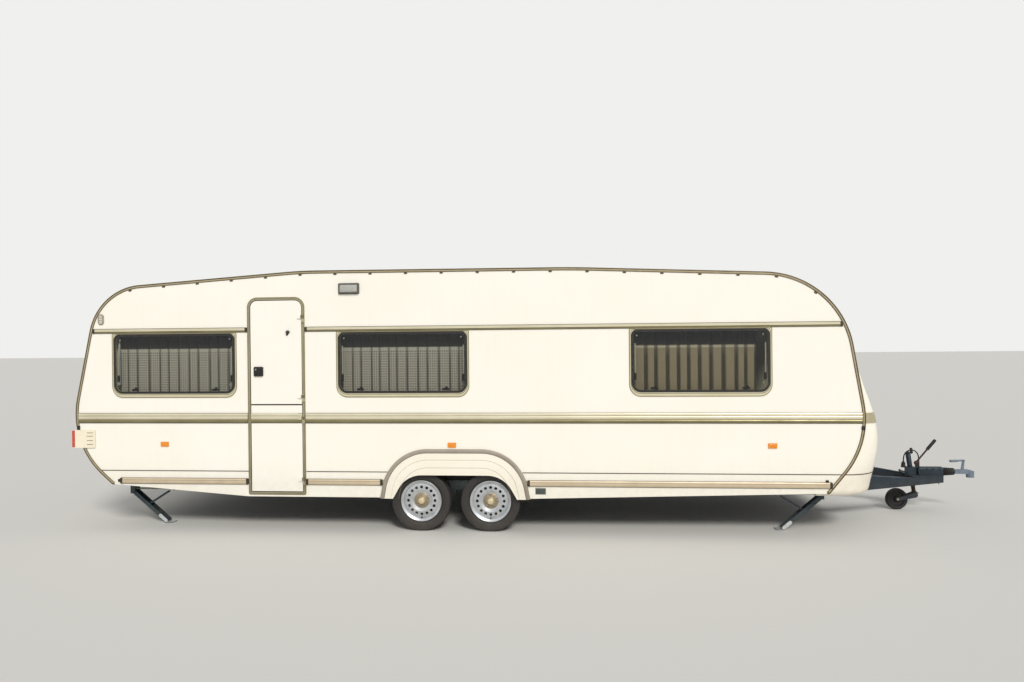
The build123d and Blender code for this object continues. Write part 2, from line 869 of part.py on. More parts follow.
# Vents of the refrigerator on the far side: foot and head heights of each grille
vent_x = (20.0, 480.0)
vent_heights = [(640.0, 850.0), (1200.0, 1410.0)]
vent_border = 26.0
vent_proud = 10.0
vent_slats = 7
slat_height = 12.0
with BuildPart() as fridge_vents:
    for low_z, high_z in vent_heights:
        plate = rectangle(*vent_x, low_z, high_z, 10.0, 10.0)
        opening = inset(plate, vent_border)
        add(slab(plate, far, body_half_width, body_half_width + 2.0))
        add(slab(difference(plate, opening), far, body_half_width + 2.0, body_half_width + vent_proud))
        pitch = (high_z - low_z - 2 * vent_border) / vent_slats
        for slat in range(vent_slats):
            foot_z = low_z + vent_border + (slat + 0.5) * pitch - slat_height / 2
            blade = rectangle(*vent_x, foot_z, foot_z + slat_height)
            add(slab(common(opening, blade), far, body_half_width + 2.0, body_half_width + vent_proud - 1.0))
finish(fridge_vents, "fridge_vents")

# Rooflights: frame on the roof and a hinged dome
rooflight_frame_height = 26.0
rooflight_frame_width = 30.0
rooflight_lid_height = 34.0
rooflight_hinge_radius = 6.0
rooflight_pin_radius = 3.0


def roof_height(x):
    """Height of the roof's outer face at x."""
    return common(body_outline, rectangle(x - 0.5, x + 0.5, trim_line_z, top_limit)).bounding_box().max.Y


with BuildPart() as rooflight_frames:
    for name, x, half_length, half_width in rooflights:
        top = roof_height(x) + rooflight_frame_height
        inner_x = half_length - rooflight_frame_width
        inner_y = half_width - rooflight_frame_width
        add(block((x - half_length, -half_width, trim_line_z), (x + half_length, half_width, top)))
        add(block((x - inner_x, -inner_y, trim_line_z), (x + inner_x, inner_y, top)), mode=Mode.SUBTRACT)
    add(across(body_outline, shell_half_width), mode=Mode.SUBTRACT)
    for name, x, half_length, half_width in rooflights:
        hinge_z = roof_height(x) + rooflight_frame_height
        hinge_x = x - half_length - rooflight_hinge_radius
        for end in (-1, 1):
            low_y, high_y = sorted((end * (half_width - 60.0), end * (half_width - 90.0)))
            add(rod((hinge_x, low_y, hinge_z), (hinge_x, high_y, hinge_z), rooflight_hinge_radius))
            add(block((hinge_x, low_y, hinge_z - 14.0), (x - half_length, high_y, hinge_z)))
            pin_end = end * (half_width - 30.0)
            add(rod((hinge_x, low_y, hinge_z), (hinge_x, pin_end, hinge_z), rooflight_pin_radius))
finish(rooflight_frames, "rooflight_frames")

for name, x, half_length, half_width in rooflights:
    base_z = roof_height(x) + rooflight_frame_height + soft_gap
    hinge_z = roof_height(x) + rooflight_frame_height
    hinge_x = x - half_length - rooflight_hinge_radius
    with BuildPart() as rooflight_lid:
        with BuildSketch(Plane.XY.offset(base_z)):
            with Locations((x, 0)):
                RectangleRounded(2 * half_length, 2 * half_width, 40.0)
        extrude(amount=rooflight_lid_height)
        fillet(rooflight_lid.faces().sort_by(Axis.Z)[-1].edges(), 20.0)
        with BuildSketch(Plane.XY.offset(base_z)):
            with Locations((x, 0)):
                RectangleRounded(2 * half_length - 16.0, 2 * half_width - 16.0, 32.0)
        extrude(amount=rooflight_lid_height - 8.0, mode=Mode.SUBTRACT)
        for end in (-1, 1):
            low_y, high_y = sorted((end * (half_width - 29.0), end * (half_width - 59.0)))
            add(rod((hinge_x, low_y, hinge_z), (hinge_x, high_y, hinge_z), rooflight_hinge_radius))
            add(block((hinge_x, low_y, base_z), (x - half_length + 9.0, high_y, base_z + rooflight_hinge_radius)))
            add(rod(
                (hinge_x, low_y - 1.0, hinge_z),
                (hinge_x, high_y + 1.0, hinge_z),
                rooflight_pin_radius + pin_clearance,
            ), mode=Mode.SUBTRACT)
    finish(rooflight_lid, f"rooflight_lid_{name}")

# Chassis: two channel rails, cross members on top of them and the drawbar
rail_top_z = rail_bottom_z + rail_height
inner_side = rail_y - rail_width / 2
outer_side = rail_y + rail_width / 2
with BuildPart() as chassis_rails:
    for side in sides.values():
        with BuildSketch(Plane.YZ.offset(rail_rear_x)):
            with BuildLine():
                Polyline(
                    (-side * inner_side, rail_bottom_z),
                    (-side * outer_side, rail_bottom_z),
                    (-side * outer_side, rail_top_z),
                    (-side * inner_side, rail_top_z),
                    (-side * inner_side, rail_top_z - rail_wall),
                    (-side * (outer_side - rail_wall), rail_top_z - rail_wall),
                    (-side * (outer_side - rail_wall), rail_bottom_z + rail_wall),
                    (-side * inner_side, rail_bottom_z + rail_wall),
                    close=True,
                )
            make_face()
        extrude(amount=bend_x - rail_rear_x)
finish(chassis_rails, "chassis_rails")

with BuildPart() as cross_bars:
    for x, half_length in cross_members:
        add(block(
            (x - member_width / 2, -half_length, rail_top_z),
            (x + member_width / 2, half_length, rail_top_z + member_height),
        ))
finish(cross_bars, "cross_members")

# Drawbar beams: tapered in side view, meeting at the hitch in plan
with BuildPart() as drawbar:
    for side in sides.values():
        with BuildSketch(Plane.XY.offset(rail_bottom_z)):
            with BuildLine():
                Polyline(
                    (bend_x, -side * inner_side),
                    (bend_x, -side * outer_side),
                    (drawbar_tip_x, -side * drawbar_tip_y),
                    (drawbar_tip_x, -side * (drawbar_tip_y - rail_width)),
                    close=True,
                )
            make_face()
        extrude(amount=drawbar_shoulder_z - rail_bottom_z)
    with BuildSketch(Plane.XZ) as drawbar_side:
        with BuildLine():
            Polyline(
                (bend_x, rail_bottom_z),
                (drawbar_tip_x, rail_bottom_z),
                (drawbar_tip_x, drawbar_flat_z),
                (drawbar_flat_x, drawbar_flat_z),
                (drawbar_shoulder_x, drawbar_shoulder_z),
                (bend_x, drawbar_shoulder_z),
                close=True,
            )
        make_face()
    extrude(amount=1000.0, both=True, mode=Mode.INTERSECT)
finish(drawbar, "drawbar")

# Axles with their mounting brackets under the rails
wheel_x = {"front": arch_middle_x + axle_spacing / 2, "rear": arch_middle_x - axle_spacing / 2}
bracket_length = 150.0
with BuildPart() as axle_tubes:
    for x in wheel_x.values():
        tube_x = x + axle_lead
        add(rod((tube_x, -axle_half_length, axle_tube_z), (tube_x, axle_half_length, axle_tube_z), axle_tube_radius))
        for side in sides.values():
            add(block(
                (tube_x - bracket_length / 2, -side * rail_y - rail_width / 2, axle_tube_z),
                (tube_x + bracket_length / 2, -side * rail_y + rail_width / 2, rail_bottom_z),
            ))

# Swing arms with their stub axles
wheel_z = wheel_radius
arm_inner_y = axle_half_length
arm_outer_y = axle_half_length + arm_thickness
rim_outer_y = tyre_outer_y - (tyre_width - rim_width) / 2
rim_inner_y = rim_outer_y - rim_width
drum_inner_y = arm_outer_y + 12.0
disc_outer_y = rim_outer_y - 28.0
disc_thickness = 6.0
stub_end_y = disc_outer_y - 8.0
with BuildPart() as swing_arms:
    for side in sides.values():
        for x in wheel_x.values():
            arm = link_outline((x + axle_lead, axle_tube_z, 42.0), (x, wheel_z, 34.0))
            add(slab(arm, side, arm_inner_y, arm_outer_y))
            add(rod((x, -side * arm_inner_y, wheel_z), (x, -side * stub_end_y, wheel_z), stub_radius))

with BuildPart() as axles:
    add(axle_tubes.part)
    add(swing_arms.part)
finish(axles, "axles")

# Road wheels: pressed rim with its hub and drum, and a tyre
rim_section = [
    (rim_flange_radius, rim_outer_y),
    (rim_flange_radius, rim_outer_y - 8.0),
    (rim_seat_radius, rim_outer_y - 13.0),
    (rim_seat_radius - 2.0, rim_outer_y - 38.0),
    (rim_well_radius, rim_outer_y - 54.0),
    (rim_well_radius, rim_inner_y + 46.0),
    (rim_seat_radius - 2.0, rim_inner_y + 30.0),
    (rim_seat_radius, rim_inner_y + 13.0),
    (rim_flange_radius, rim_inner_y + 8.0),
    (rim_flange_radius, rim_inner_y),
    (rim_flange_radius - 6.0, rim_inner_y),
    (rim_seat_radius - 6.0, rim_inner_y + 12.0),
    (rim_seat_radius - 8.0, rim_inner_y + 32.0),
    (rim_well_radius - 6.0, rim_inner_y + 48.0),
    (rim_well_radius - 6.0, rim_outer_y - 52.0),
    (rim_seat_radius - 8.0, disc_outer_y - disc_thickness),
    (hub_radius + 26.0, disc_outer_y - disc_thickness - 8.0),
    (drum_radius, disc_outer_y - disc_thickness - 22.0),
    (drum_radius, drum_inner_y),
    (stub_radius + pin_clearance, drum_inner_y),
    (stub_radius + pin_clearance, stub_end_y + 2.0),
    (0.0, stub_end_y + 2.0),
    (0.0, disc_outer_y + 26.0),
    (26.0, disc_outer_y + 24.0),
    (34.0, disc_outer_y + 8.0),
    (hub_radius + 26.0, disc_outer_y - 2.0),
    (hub_radius + 56.0, disc_outer_y + 8.0),
    (rim_well_radius - 6.0, disc_outer_y + 5.0),
    (rim_seat_radius - 10.0, disc_outer_y),
    (rim_seat_radius - 6.0, rim_outer_y - 12.0),
    (rim_flange_radius - 6.0, rim_outer_y - 4.0),
    (rim_flange_radius - 6.0, rim_outer_y),
]
tyre_bead_radius = rim_seat_radius + soft_gap
tyre_mid_y = tyre_outer_y - tyre_width / 2
# Half section of a tyre: radius and distance from its middle
tyre_half_section = [
    (tyre_bead_radius, rim_width / 2 - 14.0),
    (rim_flange_radius + 2.0, rim_width / 2 - 8.0 - soft_gap),
    (rim_flange_radius + 12.0, rim_width / 2 + 8.0),
    (wheel_radius - 44.0, tyre_width / 2),
    (wheel_radius - 16.0, tyre_width / 2 - 6.0),
    (wheel_radius, tyre_width / 2 - 20.0),
]

for side_name, side in sides.items():
    for end_name, x in wheel_x.items():
        centre = Plane(origin=(x, 0, wheel_z), x_dir=(1, 0, 0), z_dir=(0, 0, 1))
        axis = Axis((x, 0, wheel_z), (0, -side, 0))
        with BuildPart() as rim:
            with BuildSketch(centre):
                with BuildLine():
                    Polyline([(r, -side * y) for r, y in rim_section], close=True)
                make_face()
            revolve(axis=axis)
            with BuildSketch(side_plane(side, disc_outer_y - 40.0, disc_outer_y + 20.0)):
                with Locations((x, wheel_z)):
                    with PolarLocations(hand_hole_circle, hand_holes):
                        Circle(hand_hole_radius)
            extrude(amount=60.0, mode=Mode.SUBTRACT)
        finish(rim, f"rim_{end_name}_{side_name}")
        with BuildPart() as tyre:
            with BuildSketch(centre):
                with BuildLine():
                    tyre_section = tyre_half_section + [(r, -d) for r, d in reversed(tyre_half_section)]
                    Polyline([(r, -side * tyre_mid_y + d) for r, d in tyre_section], close=True)
                make_face()
            revolve(axis=axis)
        finish(tyre, f"tyre_{end_name}_{side_name}")

# Corner steadies: a base with a spindle, a channel leg with its foot and a strut
steady_ear = 6.0
steady_side_gap = 1.0
base_length = 560.0
spindle_radius = 7.0
spindle_z = 337.0
spindle_length = 425.0
leg_end_radius = 18.0
leg_pivot_radius = 20.0
foot_axis_z = foot_thickness + leg_end_radius - 2.0
foot_ahead = 75.0
foot_behind = 10.0
strut_share = 0.45
nut_z = 308.0
strut_radius = 8.0
strut_pin_radius = 5.0
ear_y = steady_width / 2 + steady_side_gap
with BuildPart() as steady_bases:
    for name, pivot_x, foot_x in steadies:
        inward = math.copysign(1.0, foot_x - pivot_x)
        for side in sides.values():
            y = -side * steady_y
            low_x, high_x = sorted((pivot_x - inward * 28.0, pivot_x + inward * base_length))
            add(block((low_x, y - 50.0, rail_top_z), (high_x, y + 50.0, floor_bottom_z)))
            for end in (-1, 1):
                low_y, high_y = sorted((y + end * ear_y, y + end * (ear_y + steady_ear)))
                add(block((pivot_x - 24.0, low_y, steady_pivot_z - 22.0), (pivot_x + 24.0, high_y, rail_top_z)))
            add(rod(
                (pivot_x, y - ear_y - steady_ear, steady_pivot_z),
                (pivot_x, y + ear_y + steady_ear, steady_pivot_z),
                steady_pin_radius,
            ))
            for reach in (-28.0, spindle_length - 10.0):
                low_x, high_x = sorted((pivot_x + inward * reach, pivot_x + inward * (reach + 8.0)))
                add(block((low_x, y - 20.0, spindle_z - 12.0), (high_x, y + 20.0, rail_top_z)))
            add(rod(
                (pivot_x - inward * 50.0, y, spindle_z),
                (pivot_x + inward * spindle_length, y, spindle_z),
                spindle_radius,
            ))
finish(steady_bases, "steady_bases")

for end_name, pivot_x, foot_x in steadies:
    inward = math.copysign(1.0, foot_x - pivot_x)
    run = Vector(foot_x - pivot_x, foot_axis_z - steady_pivot_z)
    along = run.normalized()
    upward = Vector(-inward * along.Y, inward * along.X)
    joint = Vector(pivot_x, steady_pivot_z) + run * strut_share
    rise = nut_z - joint.Y
    nut = joint + Vector(inward * math.sqrt(strut_reach**2 - rise**2), rise)
    leg = link_outline((pivot_x, steady_pivot_z, leg_pivot_radius), (foot_x, foot_axis_z, leg_end_radius))
    inner = steady_width / 2 - steady_wall
    slot = link_outline(
        ((joint + along * 60.0).X, (joint + along * 60.0).Y, 9.0),
        ((joint + along * 170.0).X, (joint + along * 170.0).Y, 9.0),
    )
    for side_name, side in sides.items():
        low_y = steady_y - steady_width / 2
        high_y = steady_y + steady_width / 2
        with BuildPart() as steady_leg:
            add(slab(leg, side, low_y, high_y))
            hollow = slab(leg, side, steady_y - inner, steady_y + inner)
            add(hollow.moved(Location((upward.X * steady_wall, 0, upward.Y * steady_wall))), mode=Mode.SUBTRACT)
            pivot_bore = [(pivot_x, -side * y, steady_pivot_z) for y in (low_y - 5.0, high_y + 5.0)]
            add(rod(*pivot_bore, steady_pin_radius + pin_clearance), mode=Mode.SUBTRACT)
            add(rod((joint.X, -side * low_y, joint.Y), (joint.X, -side * high_y, joint.Y), strut_pin_radius))
            low_x, high_x = sorted((foot_x - inward * foot_behind, foot_x + inward * foot_ahead))
            add(block((low_x, -side * steady_y - 45.0, 0.0), (high_x, -side * steady_y + 45.0, foot_thickness)))
        finish(steady_leg, f"steady_leg_{end_name}_{side_name}")
        with BuildPart() as steady_strut:
            bar = link_outline((joint.X, joint.Y, strut_radius), (nut.X, nut.Y, strut_radius))
            add(slab(bar, side, steady_y - strut_width / 2, steady_y + strut_width / 2))
            bore = [(joint.X, -side * (steady_y + d), joint.Y) for d in (-strut_width, strut_width)]
            add(rod(*bore, strut_pin_radius + pin_clearance), mode=Mode.SUBTRACT)
        finish(steady_strut, f"steady_strut_{end_name}_{side_name}")

# Electric lead: up from its gland, over the jockey crank and down to the plug
lead_radius = 6.0
lead_route = [
    (3950.0, -60.0, 452.0),
    (3951.0, -60.0, 500.0),
    (3949.0, -59.0, 548.0),
    (3941.0, -59.0, 586.0),
    (3919.0, -60.0, 614.0),
    (3889.0, -62.0, 628.0),
    (3856.0, -64.0, 627.0),
    (3825.0, -66.0, 611.0),
    (3804.0, -65.0, 584.0),
    (3797.0, -61.0, 548.0),
    (3797.0, -58.0, 513.0),
]
# Plug from its collar down: distance from the lead's end and radius
plug_profile = [(0.0, 9.0), (14.0, 11.0), (14.0, 19.0), (52.0, 21.0), (52.0, 23.0), (64.0, 23.0)]


def corner_radii(route):
    """Radius of each corner: 0.45 of its shorter run over the tangent of half its turn."""
    points = [Vector(*point) for point in route]
    runs = [end - start for start, end in zip(points, points[1:])]
    return [
        0.45 * min(first.length, second.length) / math.tan(math.radians(first.get_angle(second)) / 2)
        for first, second in zip(runs, runs[1:])
    ]


lead_radii = corner_radii(lead_route)
print("lead radii", [round(radius) for radius in lead_radii])
with BuildPart() as lead:
    with BuildLine() as lead_line:
        FilletPolyline(*lead_route, radius=lead_radii)
    with BuildSketch(Plane(origin=lead_route[0], z_dir=(0, 0, 1))):
        Circle(lead_radius)
    sweep(path=lead_line.line)
lead_length = sum(edge.length for edge in lead_line.edges())
lead_share = lead.part.volume / (math.pi * lead_radius**2 * lead_length)
print("lead length", round(lead_length), "volume share", round(lead_share, 3))
finish(lead, "lead")

plug_dir = (Vector(*lead_route[-1]) - Vector(*lead_route[-2])).normalized()
plug_side = plug_dir.cross(Vector(0, 1, 0)).normalized()
plug_plane = Plane(origin=lead_route[-1], x_dir=plug_side, z_dir=plug_side.cross(plug_dir))
with BuildPart() as lead_plug:
    with BuildSketch(plug_plane):
        with BuildLine():
            Polyline([(0.0, 0.0)] + [(r, d) for d, r in plug_profile] + [(0.0, plug_profile[-1][0])], close=True)
        make_face()
    revolve(axis=Axis(lead_route[-1], tuple(plug_dir)))
finish(lead_plug, "lead_plug")

# Hitch: base plate and housing, bellows, coupling head and its handle
plate_top_z = drawbar_flat_z + plate_thickness
with BuildPart() as overrun_housing:
    with BuildSketch(Plane.XY.offset(drawbar_flat_z)):
        with BuildLine():
            Polyline(
                (housing_rear_x - 12.0, -190.0),
                (drawbar_tip_x, -62.0),
                (drawbar_tip_x, 62.0),
                (housing_rear_x - 12.0, 190.0),
                close=True,
            )
        make_face()
    extrude(amount=plate_thickness)
    with BuildSketch(Plane.YZ.offset(housing_rear_x)):
        with Locations((0, (plate_top_z + housing_top_z) / 2)):
            Rectangle(2 * housing_half_width, housing_top_z - plate_top_z)
    extrude(amount=housing_front_x - housing_rear_x)
    edges = overrun_housing.edges().filter_by(Axis.X).group_by(Axis.Z)[-1]
    fillet(edges, 22.0)
    add(rod((lead_route[0][0], lead_route[0][1], drawbar_flat_z + 2.0), lead_route[0], lead_radius + 4.0))
finish(overrun_housing, "overrun_housing")

bellows_length = bellows_front_x - housing_front_x
rib_pitch = bellows_length / bellows_ribs
bellows_points = [(housing_front_x, hitch_axis_z)]
for rib in range(bellows_ribs):
    start = housing_front_x + rib * rib_pitch
    bellows_points.append((start, hitch_axis_z + bellows_radius - 9.0))
    bellows_points.append((start + rib_pitch / 2, hitch_axis_z + bellows_radius - 1.5 * rib))
bellows_points.append((bellows_front_x, hitch_axis_z + bellows_radius - 12.0))
bellows_points.append((bellows_front_x, hitch_axis_z))
with BuildPart() as bellows:
    with BuildSketch(Plane.XZ):
        with BuildLine():
            Polyline(bellows_points, close=True)
        make_face()
    revolve(axis=Axis((housing_front_x, 0, hitch_axis_z), (1, 0, 0)))
finish(bellows, "bellows")

socket_radius = socket_bore_radius + socket_wall
head_top_z = 418.0
head_bottom_z = 375.0
with BuildPart() as coupling_head:
    head = rounded_outline([
        (bellows_front_x, head_bottom_z + 2.0, 4.0),
        (socket_x, head_bottom_z, 4.0),
        (socket_x + socket_radius, head_bottom_z, 4.0),
        (socket_x + socket_radius, head_top_z - 14.0, 10.0),
        (socket_x - 20.0, head_top_z, 10.0),
        (bellows_front_x, head_top_z, 4.0),
    ])
    with BuildSketch(Plane.XZ):
        add(head)
    extrude(amount=socket_radius, both=True)
    with BuildSketch(Plane.XY.offset(socket_bottom_z)):
        with Locations((socket_x, 0)):
            Circle(socket_radius)
        with Locations(((bellows_front_x + socket_x) / 2, 0)):
            Rectangle(socket_x - bellows_front_x, 56.0)
    extrude(amount=120.0, mode=Mode.INTERSECT)
    add(rod((socket_x, 0, socket_bottom_z), (socket_x, 0, head_bottom_z + 5.0), socket_radius))
    with Locations((socket_x, 0, socket_bottom_z + socket_rim_height)):
        Sphere(socket_bore_radius, mode=Mode.SUBTRACT)
    add(rod(
        (socket_x, 0, socket_bottom_z - 5.0),
        (socket_x, 0, socket_bottom_z + socket_rim_height),
        socket_bore_radius,
    ), mode=Mode.SUBTRACT)

handle_stem = (4403.0, 418.0)
handle_grip = [(4284.0, 497.0, 6.0), (4428.0, 505.0, 6.0), (4428.0, 521.0, 6.0), (4284.0, 513.0, 6.0)]
with BuildPart() as coupling_handle:
    grip = rounded_outline(handle_grip)
    add(across(grip, 15.0))
    stem = rounded_outline([
        (handle_stem[0] - 10.0, handle_stem[1], 0.0),
        (handle_stem[0] + 16.0, handle_stem[1], 0.0),
        (handle_stem[0] + 22.0, 508.0, 0.0),
        (handle_stem[0] + 4.0, 508.0, 0.0),
    ])
    add(across(stem, 9.0))

with BuildPart() as coupling:
    add(coupling_head.part)
    add(coupling_handle.part)
finish(coupling, "coupling_head")

# Handbrake lever on its bracket beside the jockey post
lever_y = 40.0
lever_pivot = (3958.0, 480.0)
lever_end = (4153.0, 717.0)
lever_radius = 9.0
lever_grip_length = 125.0
with BuildPart() as handbrake_lever:
    run = Vector(*lever_end) - Vector(*lever_pivot)
    grip_start = Vector(*lever_end) - run.normalized() * lever_grip_length
    add(block((3948.0, lever_y - 12.0, housing_top_z), (3990.0, lever_y - 4.0, 470.0)))
    bracket = link_outline((lever_pivot[0], lever_pivot[1], 22.0), (3968.0, 462.0, 20.0))
    add(slab(common(bracket, rectangle(0.0, front_limit, housing_top_z, top_limit)), far, lever_y - 12.0, lever_y - 4.0))
    add(rod(
        (lever_pivot[0], lever_y - 12.0, lever_pivot[1]),
        (lever_pivot[0], lever_y + 12.0, lever_pivot[1]),
        12.0,
    ))
    add(rod((lever_pivot[0], lever_y, lever_pivot[1]), (lever_end[0], lever_y, lever_end[1]), lever_radius))
    add(rod((grip_start.X, lever_y, grip_start.Y), (lever_end[0], lever_y, lever_end[1]), lever_radius + 6.0))
finish(handbrake_lever, "handbrake_lever")

# Jockey wheel: clamp on the drawbar, outer tube with its crank, inner tube, fork, wheel
lean = math.radians(jockey_lean)
post_up = Vector(-math.sin(lean), 0, math.cos(lean))
post_back = Vector(-math.cos(lean), 0, -math.sin(lean))
post_foot = Vector(jockey_x, 0, jockey_z)


def on_post(up, back=0.0, y=0.0):
    """Point at a height along the jockey post, set back and to one side of its axis."""
    return tuple(post_foot + post_up * up + post_back * back + Vector(0, y, 0))


clamp_box = (3846.0, 3930.0, 46.0)
outer_tube_span = (-8.0, 335.0)
inner_tube_span = (-62.0, 300.0)
with BuildPart() as jockey_clamp:
    add(block((clamp_box[0], -clamp_box[2], 348.0), (clamp_box[1], clamp_box[2], housing_top_z)))
    add(block((clamp_box[0], -195.0, drawbar_flat_z), (clamp_box[1], 195.0, plate_top_z)))
    add(rod(on_post(outer_tube_span[0] - 60.0), on_post(outer_tube_span[1]), jockey_outer_radius), mode=Mode.SUBTRACT)

crank_top = outer_tube_span[1] + 26.0
crank_reach = 105.0
with BuildPart() as jockey_outer_tube:
    add(rod(on_post(outer_tube_span[0]), on_post(outer_tube_span[1]), jockey_outer_radius))
    add(rod(on_post(outer_tube_span[1]), on_post(outer_tube_span[1] + 12.0), jockey_outer_radius + 3.0))
    add(rod(on_post(outer_tube_span[1]), on_post(crank_top), 8.0))
    add(rod(on_post(crank_top - 8.0), on_post(crank_top - 8.0, 0.0, -crank_reach), 7.0))
    add(rod(on_post(crank_top - 8.0, 0.0, -crank_reach), on_post(crank_top + 45.0, 0.0, -crank_reach), 10.0))
    add(rod(
        on_post(outer_tube_span[0] - 10.0),
        on_post(outer_tube_span[1] - 10.0),
        jockey_inner_radius + jockey_tube_gap,
    ), mode=Mode.SUBTRACT)

with BuildPart() as jockey_mount:
    add(jockey_clamp.part)
    add(jockey_outer_tube.part)
finish(jockey_mount, "jockey_mount")

with BuildPart() as jockey_inner_tube:
    add(rod(on_post(inner_tube_span[0]), on_post(inner_tube_span[1]), jockey_inner_radius))
    add(rod(on_post(inner_tube_span[0] - 5.0), on_post(inner_tube_span[0] + 42.0), kingpin_radius + pin_clearance), mode=Mode.SUBTRACT)
finish(jockey_inner_tube, "jockey_inner_tube")

post_plane = Plane(origin=post_foot, x_dir=post_back, z_dir=Vector(0, -1, 0))
wheel_offset = Vector(jockey_wheel_x, 0, jockey_wheel_radius) - post_foot
wheel_back = wheel_offset.dot(post_back)
wheel_up = wheel_offset.dot(post_up)
fork_side_y = jockey_wheel_width / 2 + 8.0
fork_plate = 5.0
fork_top = inner_tube_span[0] - 1.0
with BuildPart() as jockey_fork:
    add(rod(on_post(fork_top), on_post(fork_top + 40.0), kingpin_radius))
    add(rod(on_post(fork_top), on_post(fork_top - 12.0), 26.0))
    with BuildSketch(Plane(origin=on_post(fork_top - 12.0), x_dir=post_back, z_dir=post_up)):
        Rectangle(64.0, 2 * (fork_side_y + fork_plate))
    extrude(amount=-8.0)
    axle_point = (wheel_back, wheel_up)
    head_point = (0.0, fork_top - 36.0)
    for end in (-1, 1):
        start = end * fork_side_y if end > 0 else end * (fork_side_y + fork_plate)
        cheek = link_outline((axle_point[0], axle_point[1], 17.0), (head_point[0], head_point[1], 24.0))
        with BuildSketch(Plane(origin=post_foot, x_dir=post_back, z_dir=post_back.cross(post_up)).offset(start)):
            add(cheek)
        extrude(amount=fork_plate)
    axle_y = fork_side_y + fork_plate + 4.0
    add(rod(
        (jockey_wheel_x, -axle_y, jockey_wheel_radius),
        (jockey_wheel_x, axle_y, jockey_wheel_radius),
        jockey_axle_radius,
    ))
finish(jockey_fork, "jockey_fork")

with BuildPart() as jockey_wheel:
    half = jockey_wheel_width / 2
    outer_ring = jockey_wheel_radius - 32.0
    # Half section: radius and distance from the middle
    section = [
        (jockey_axle_radius + pin_clearance, half + 3.0),
        (26.0, half + 3.0),
        (32.0, 12.0),
        (outer_ring - 6.0, 12.0),
        (outer_ring, half - 4.0),
        (jockey_wheel_radius - 14.0, half),
        (jockey_wheel_radius - 4.0, half - 5.0),
        (jockey_wheel_radius, half - 14.0),
    ]
    section += [(r, -d) for r, d in reversed(section)]
    with BuildSketch(Plane(origin=(jockey_wheel_x, 0, jockey_wheel_radius), x_dir=(1, 0, 0), z_dir=(0, 0, 1))):
        with BuildLine():
            Polyline(section, close=True)
        make_face()
    revolve(axis=Axis((jockey_wheel_x, 0, jockey_wheel_radius), (0, 1, 0)))
finish(jockey_wheel, "jockey_wheel")
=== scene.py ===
import math
import bmesh
import bpy
import numpy as np
from mathutils import Matrix, Vector


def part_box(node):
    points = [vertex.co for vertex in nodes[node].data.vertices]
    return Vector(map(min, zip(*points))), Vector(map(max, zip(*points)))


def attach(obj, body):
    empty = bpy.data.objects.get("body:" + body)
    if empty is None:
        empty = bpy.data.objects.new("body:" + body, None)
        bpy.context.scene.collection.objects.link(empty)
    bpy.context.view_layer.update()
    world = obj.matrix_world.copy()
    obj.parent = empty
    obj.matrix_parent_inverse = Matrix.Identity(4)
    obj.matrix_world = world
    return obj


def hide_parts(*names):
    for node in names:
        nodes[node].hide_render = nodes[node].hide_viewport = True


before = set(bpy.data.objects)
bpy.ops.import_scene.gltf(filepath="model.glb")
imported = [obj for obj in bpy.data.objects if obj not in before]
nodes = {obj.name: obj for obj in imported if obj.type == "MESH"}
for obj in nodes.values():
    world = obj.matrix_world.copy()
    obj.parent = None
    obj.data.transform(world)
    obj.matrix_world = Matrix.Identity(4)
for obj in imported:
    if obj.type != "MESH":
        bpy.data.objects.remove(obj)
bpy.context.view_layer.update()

print("frame loaded")

# Camera as in the photograph: where it stands, its turn to the left, tilt and roll in degrees
viewpoint = {"place": (0.534, -8.78, 1.85), "yaw": 5.254, "pitch": -0.373, "roll": -0.54, "lens": 28.45}
# Light: sky and sun strengths in Blender's units, sun direction from the object, backdrop and floor
lighting = {"sky": "#F3F5F8", "skyStrength": 0.50, "sunFrom": (0.28, -0.80, 0.62), "sunStrength": 2.1,
            "sunColour": "#FFFBF4", "sunSoftness": 16.0, "backdrop": "#F0F0EE", "floor": "#DAD9D5",
            "floorRough": 0.9, "floorReach": 70.0}
# Places shared with the CAD source, in metres
body = {"halfWidth": 1.245, "wheelX": {"front": -0.383, "rear": -1.047}, "wheelZ": 0.284,
        "windows": [(-4.092, -2.828), (-1.844, -0.565), (0.925, 2.214)], "windowZ": (1.278, 1.909),
        "door": (-2.720, -2.151, 0.344, 2.241)}
# Side view of the body: x, z and corner radius
bodyCorners = [(-4.103, 0.434, 0.04), (-4.547, 0.836, 0.78), (-4.230, 2.344, 0.56), (-2.180, 2.487, 4.0),
               (0.400, 2.478, 9.0), (2.812, 2.381, 0.81), (3.076, 0.855, 0.80), (2.708, 0.395, 0.03),
               (0.0, 0.325, 0.6), (-2.726, 0.325, 0.6)]
halfWidth = body["halfWidth"]
near, far = 1, -1
sideName = {near: "near", far: "far"}
handName = {near: "right", far: "left"}


# the way out of the body on one side
def outOf(side):
    return np.array([0.0, -side, 0.0])


# sRGB hex to linear: below 0.04045 divided by 12.92, above it ((c + 0.055) / 1.055) to the power 2.4
def linear(hexColour):
    values = np.array([int(hexColour[i:i + 2], 16) / 255 for i in (1, 3, 5)])
    return (*np.where(values <= 0.04045, values / 12.92, ((values + 0.055) / 1.055) ** 2.4), 1.0)


# one shader node with its settings; an input takes a value, a socket, or a node for its main output
def addNode(tree, kind, inputs=None, **settings):
    made = tree.nodes.new("ShaderNode" + kind)
    for name, value in settings.items():
        setattr(made, name, value)
    for name, value in (inputs or {}).items():
        if isinstance(value, bpy.types.Node):
            value = value.outputs[2 if value.bl_idname == "ShaderNodeMix" else 0]
        if isinstance(value, bpy.types.NodeSocket):
            tree.links.new(value, made.inputs[name])
        else:
            made.inputs[name].default_value = value
    return made


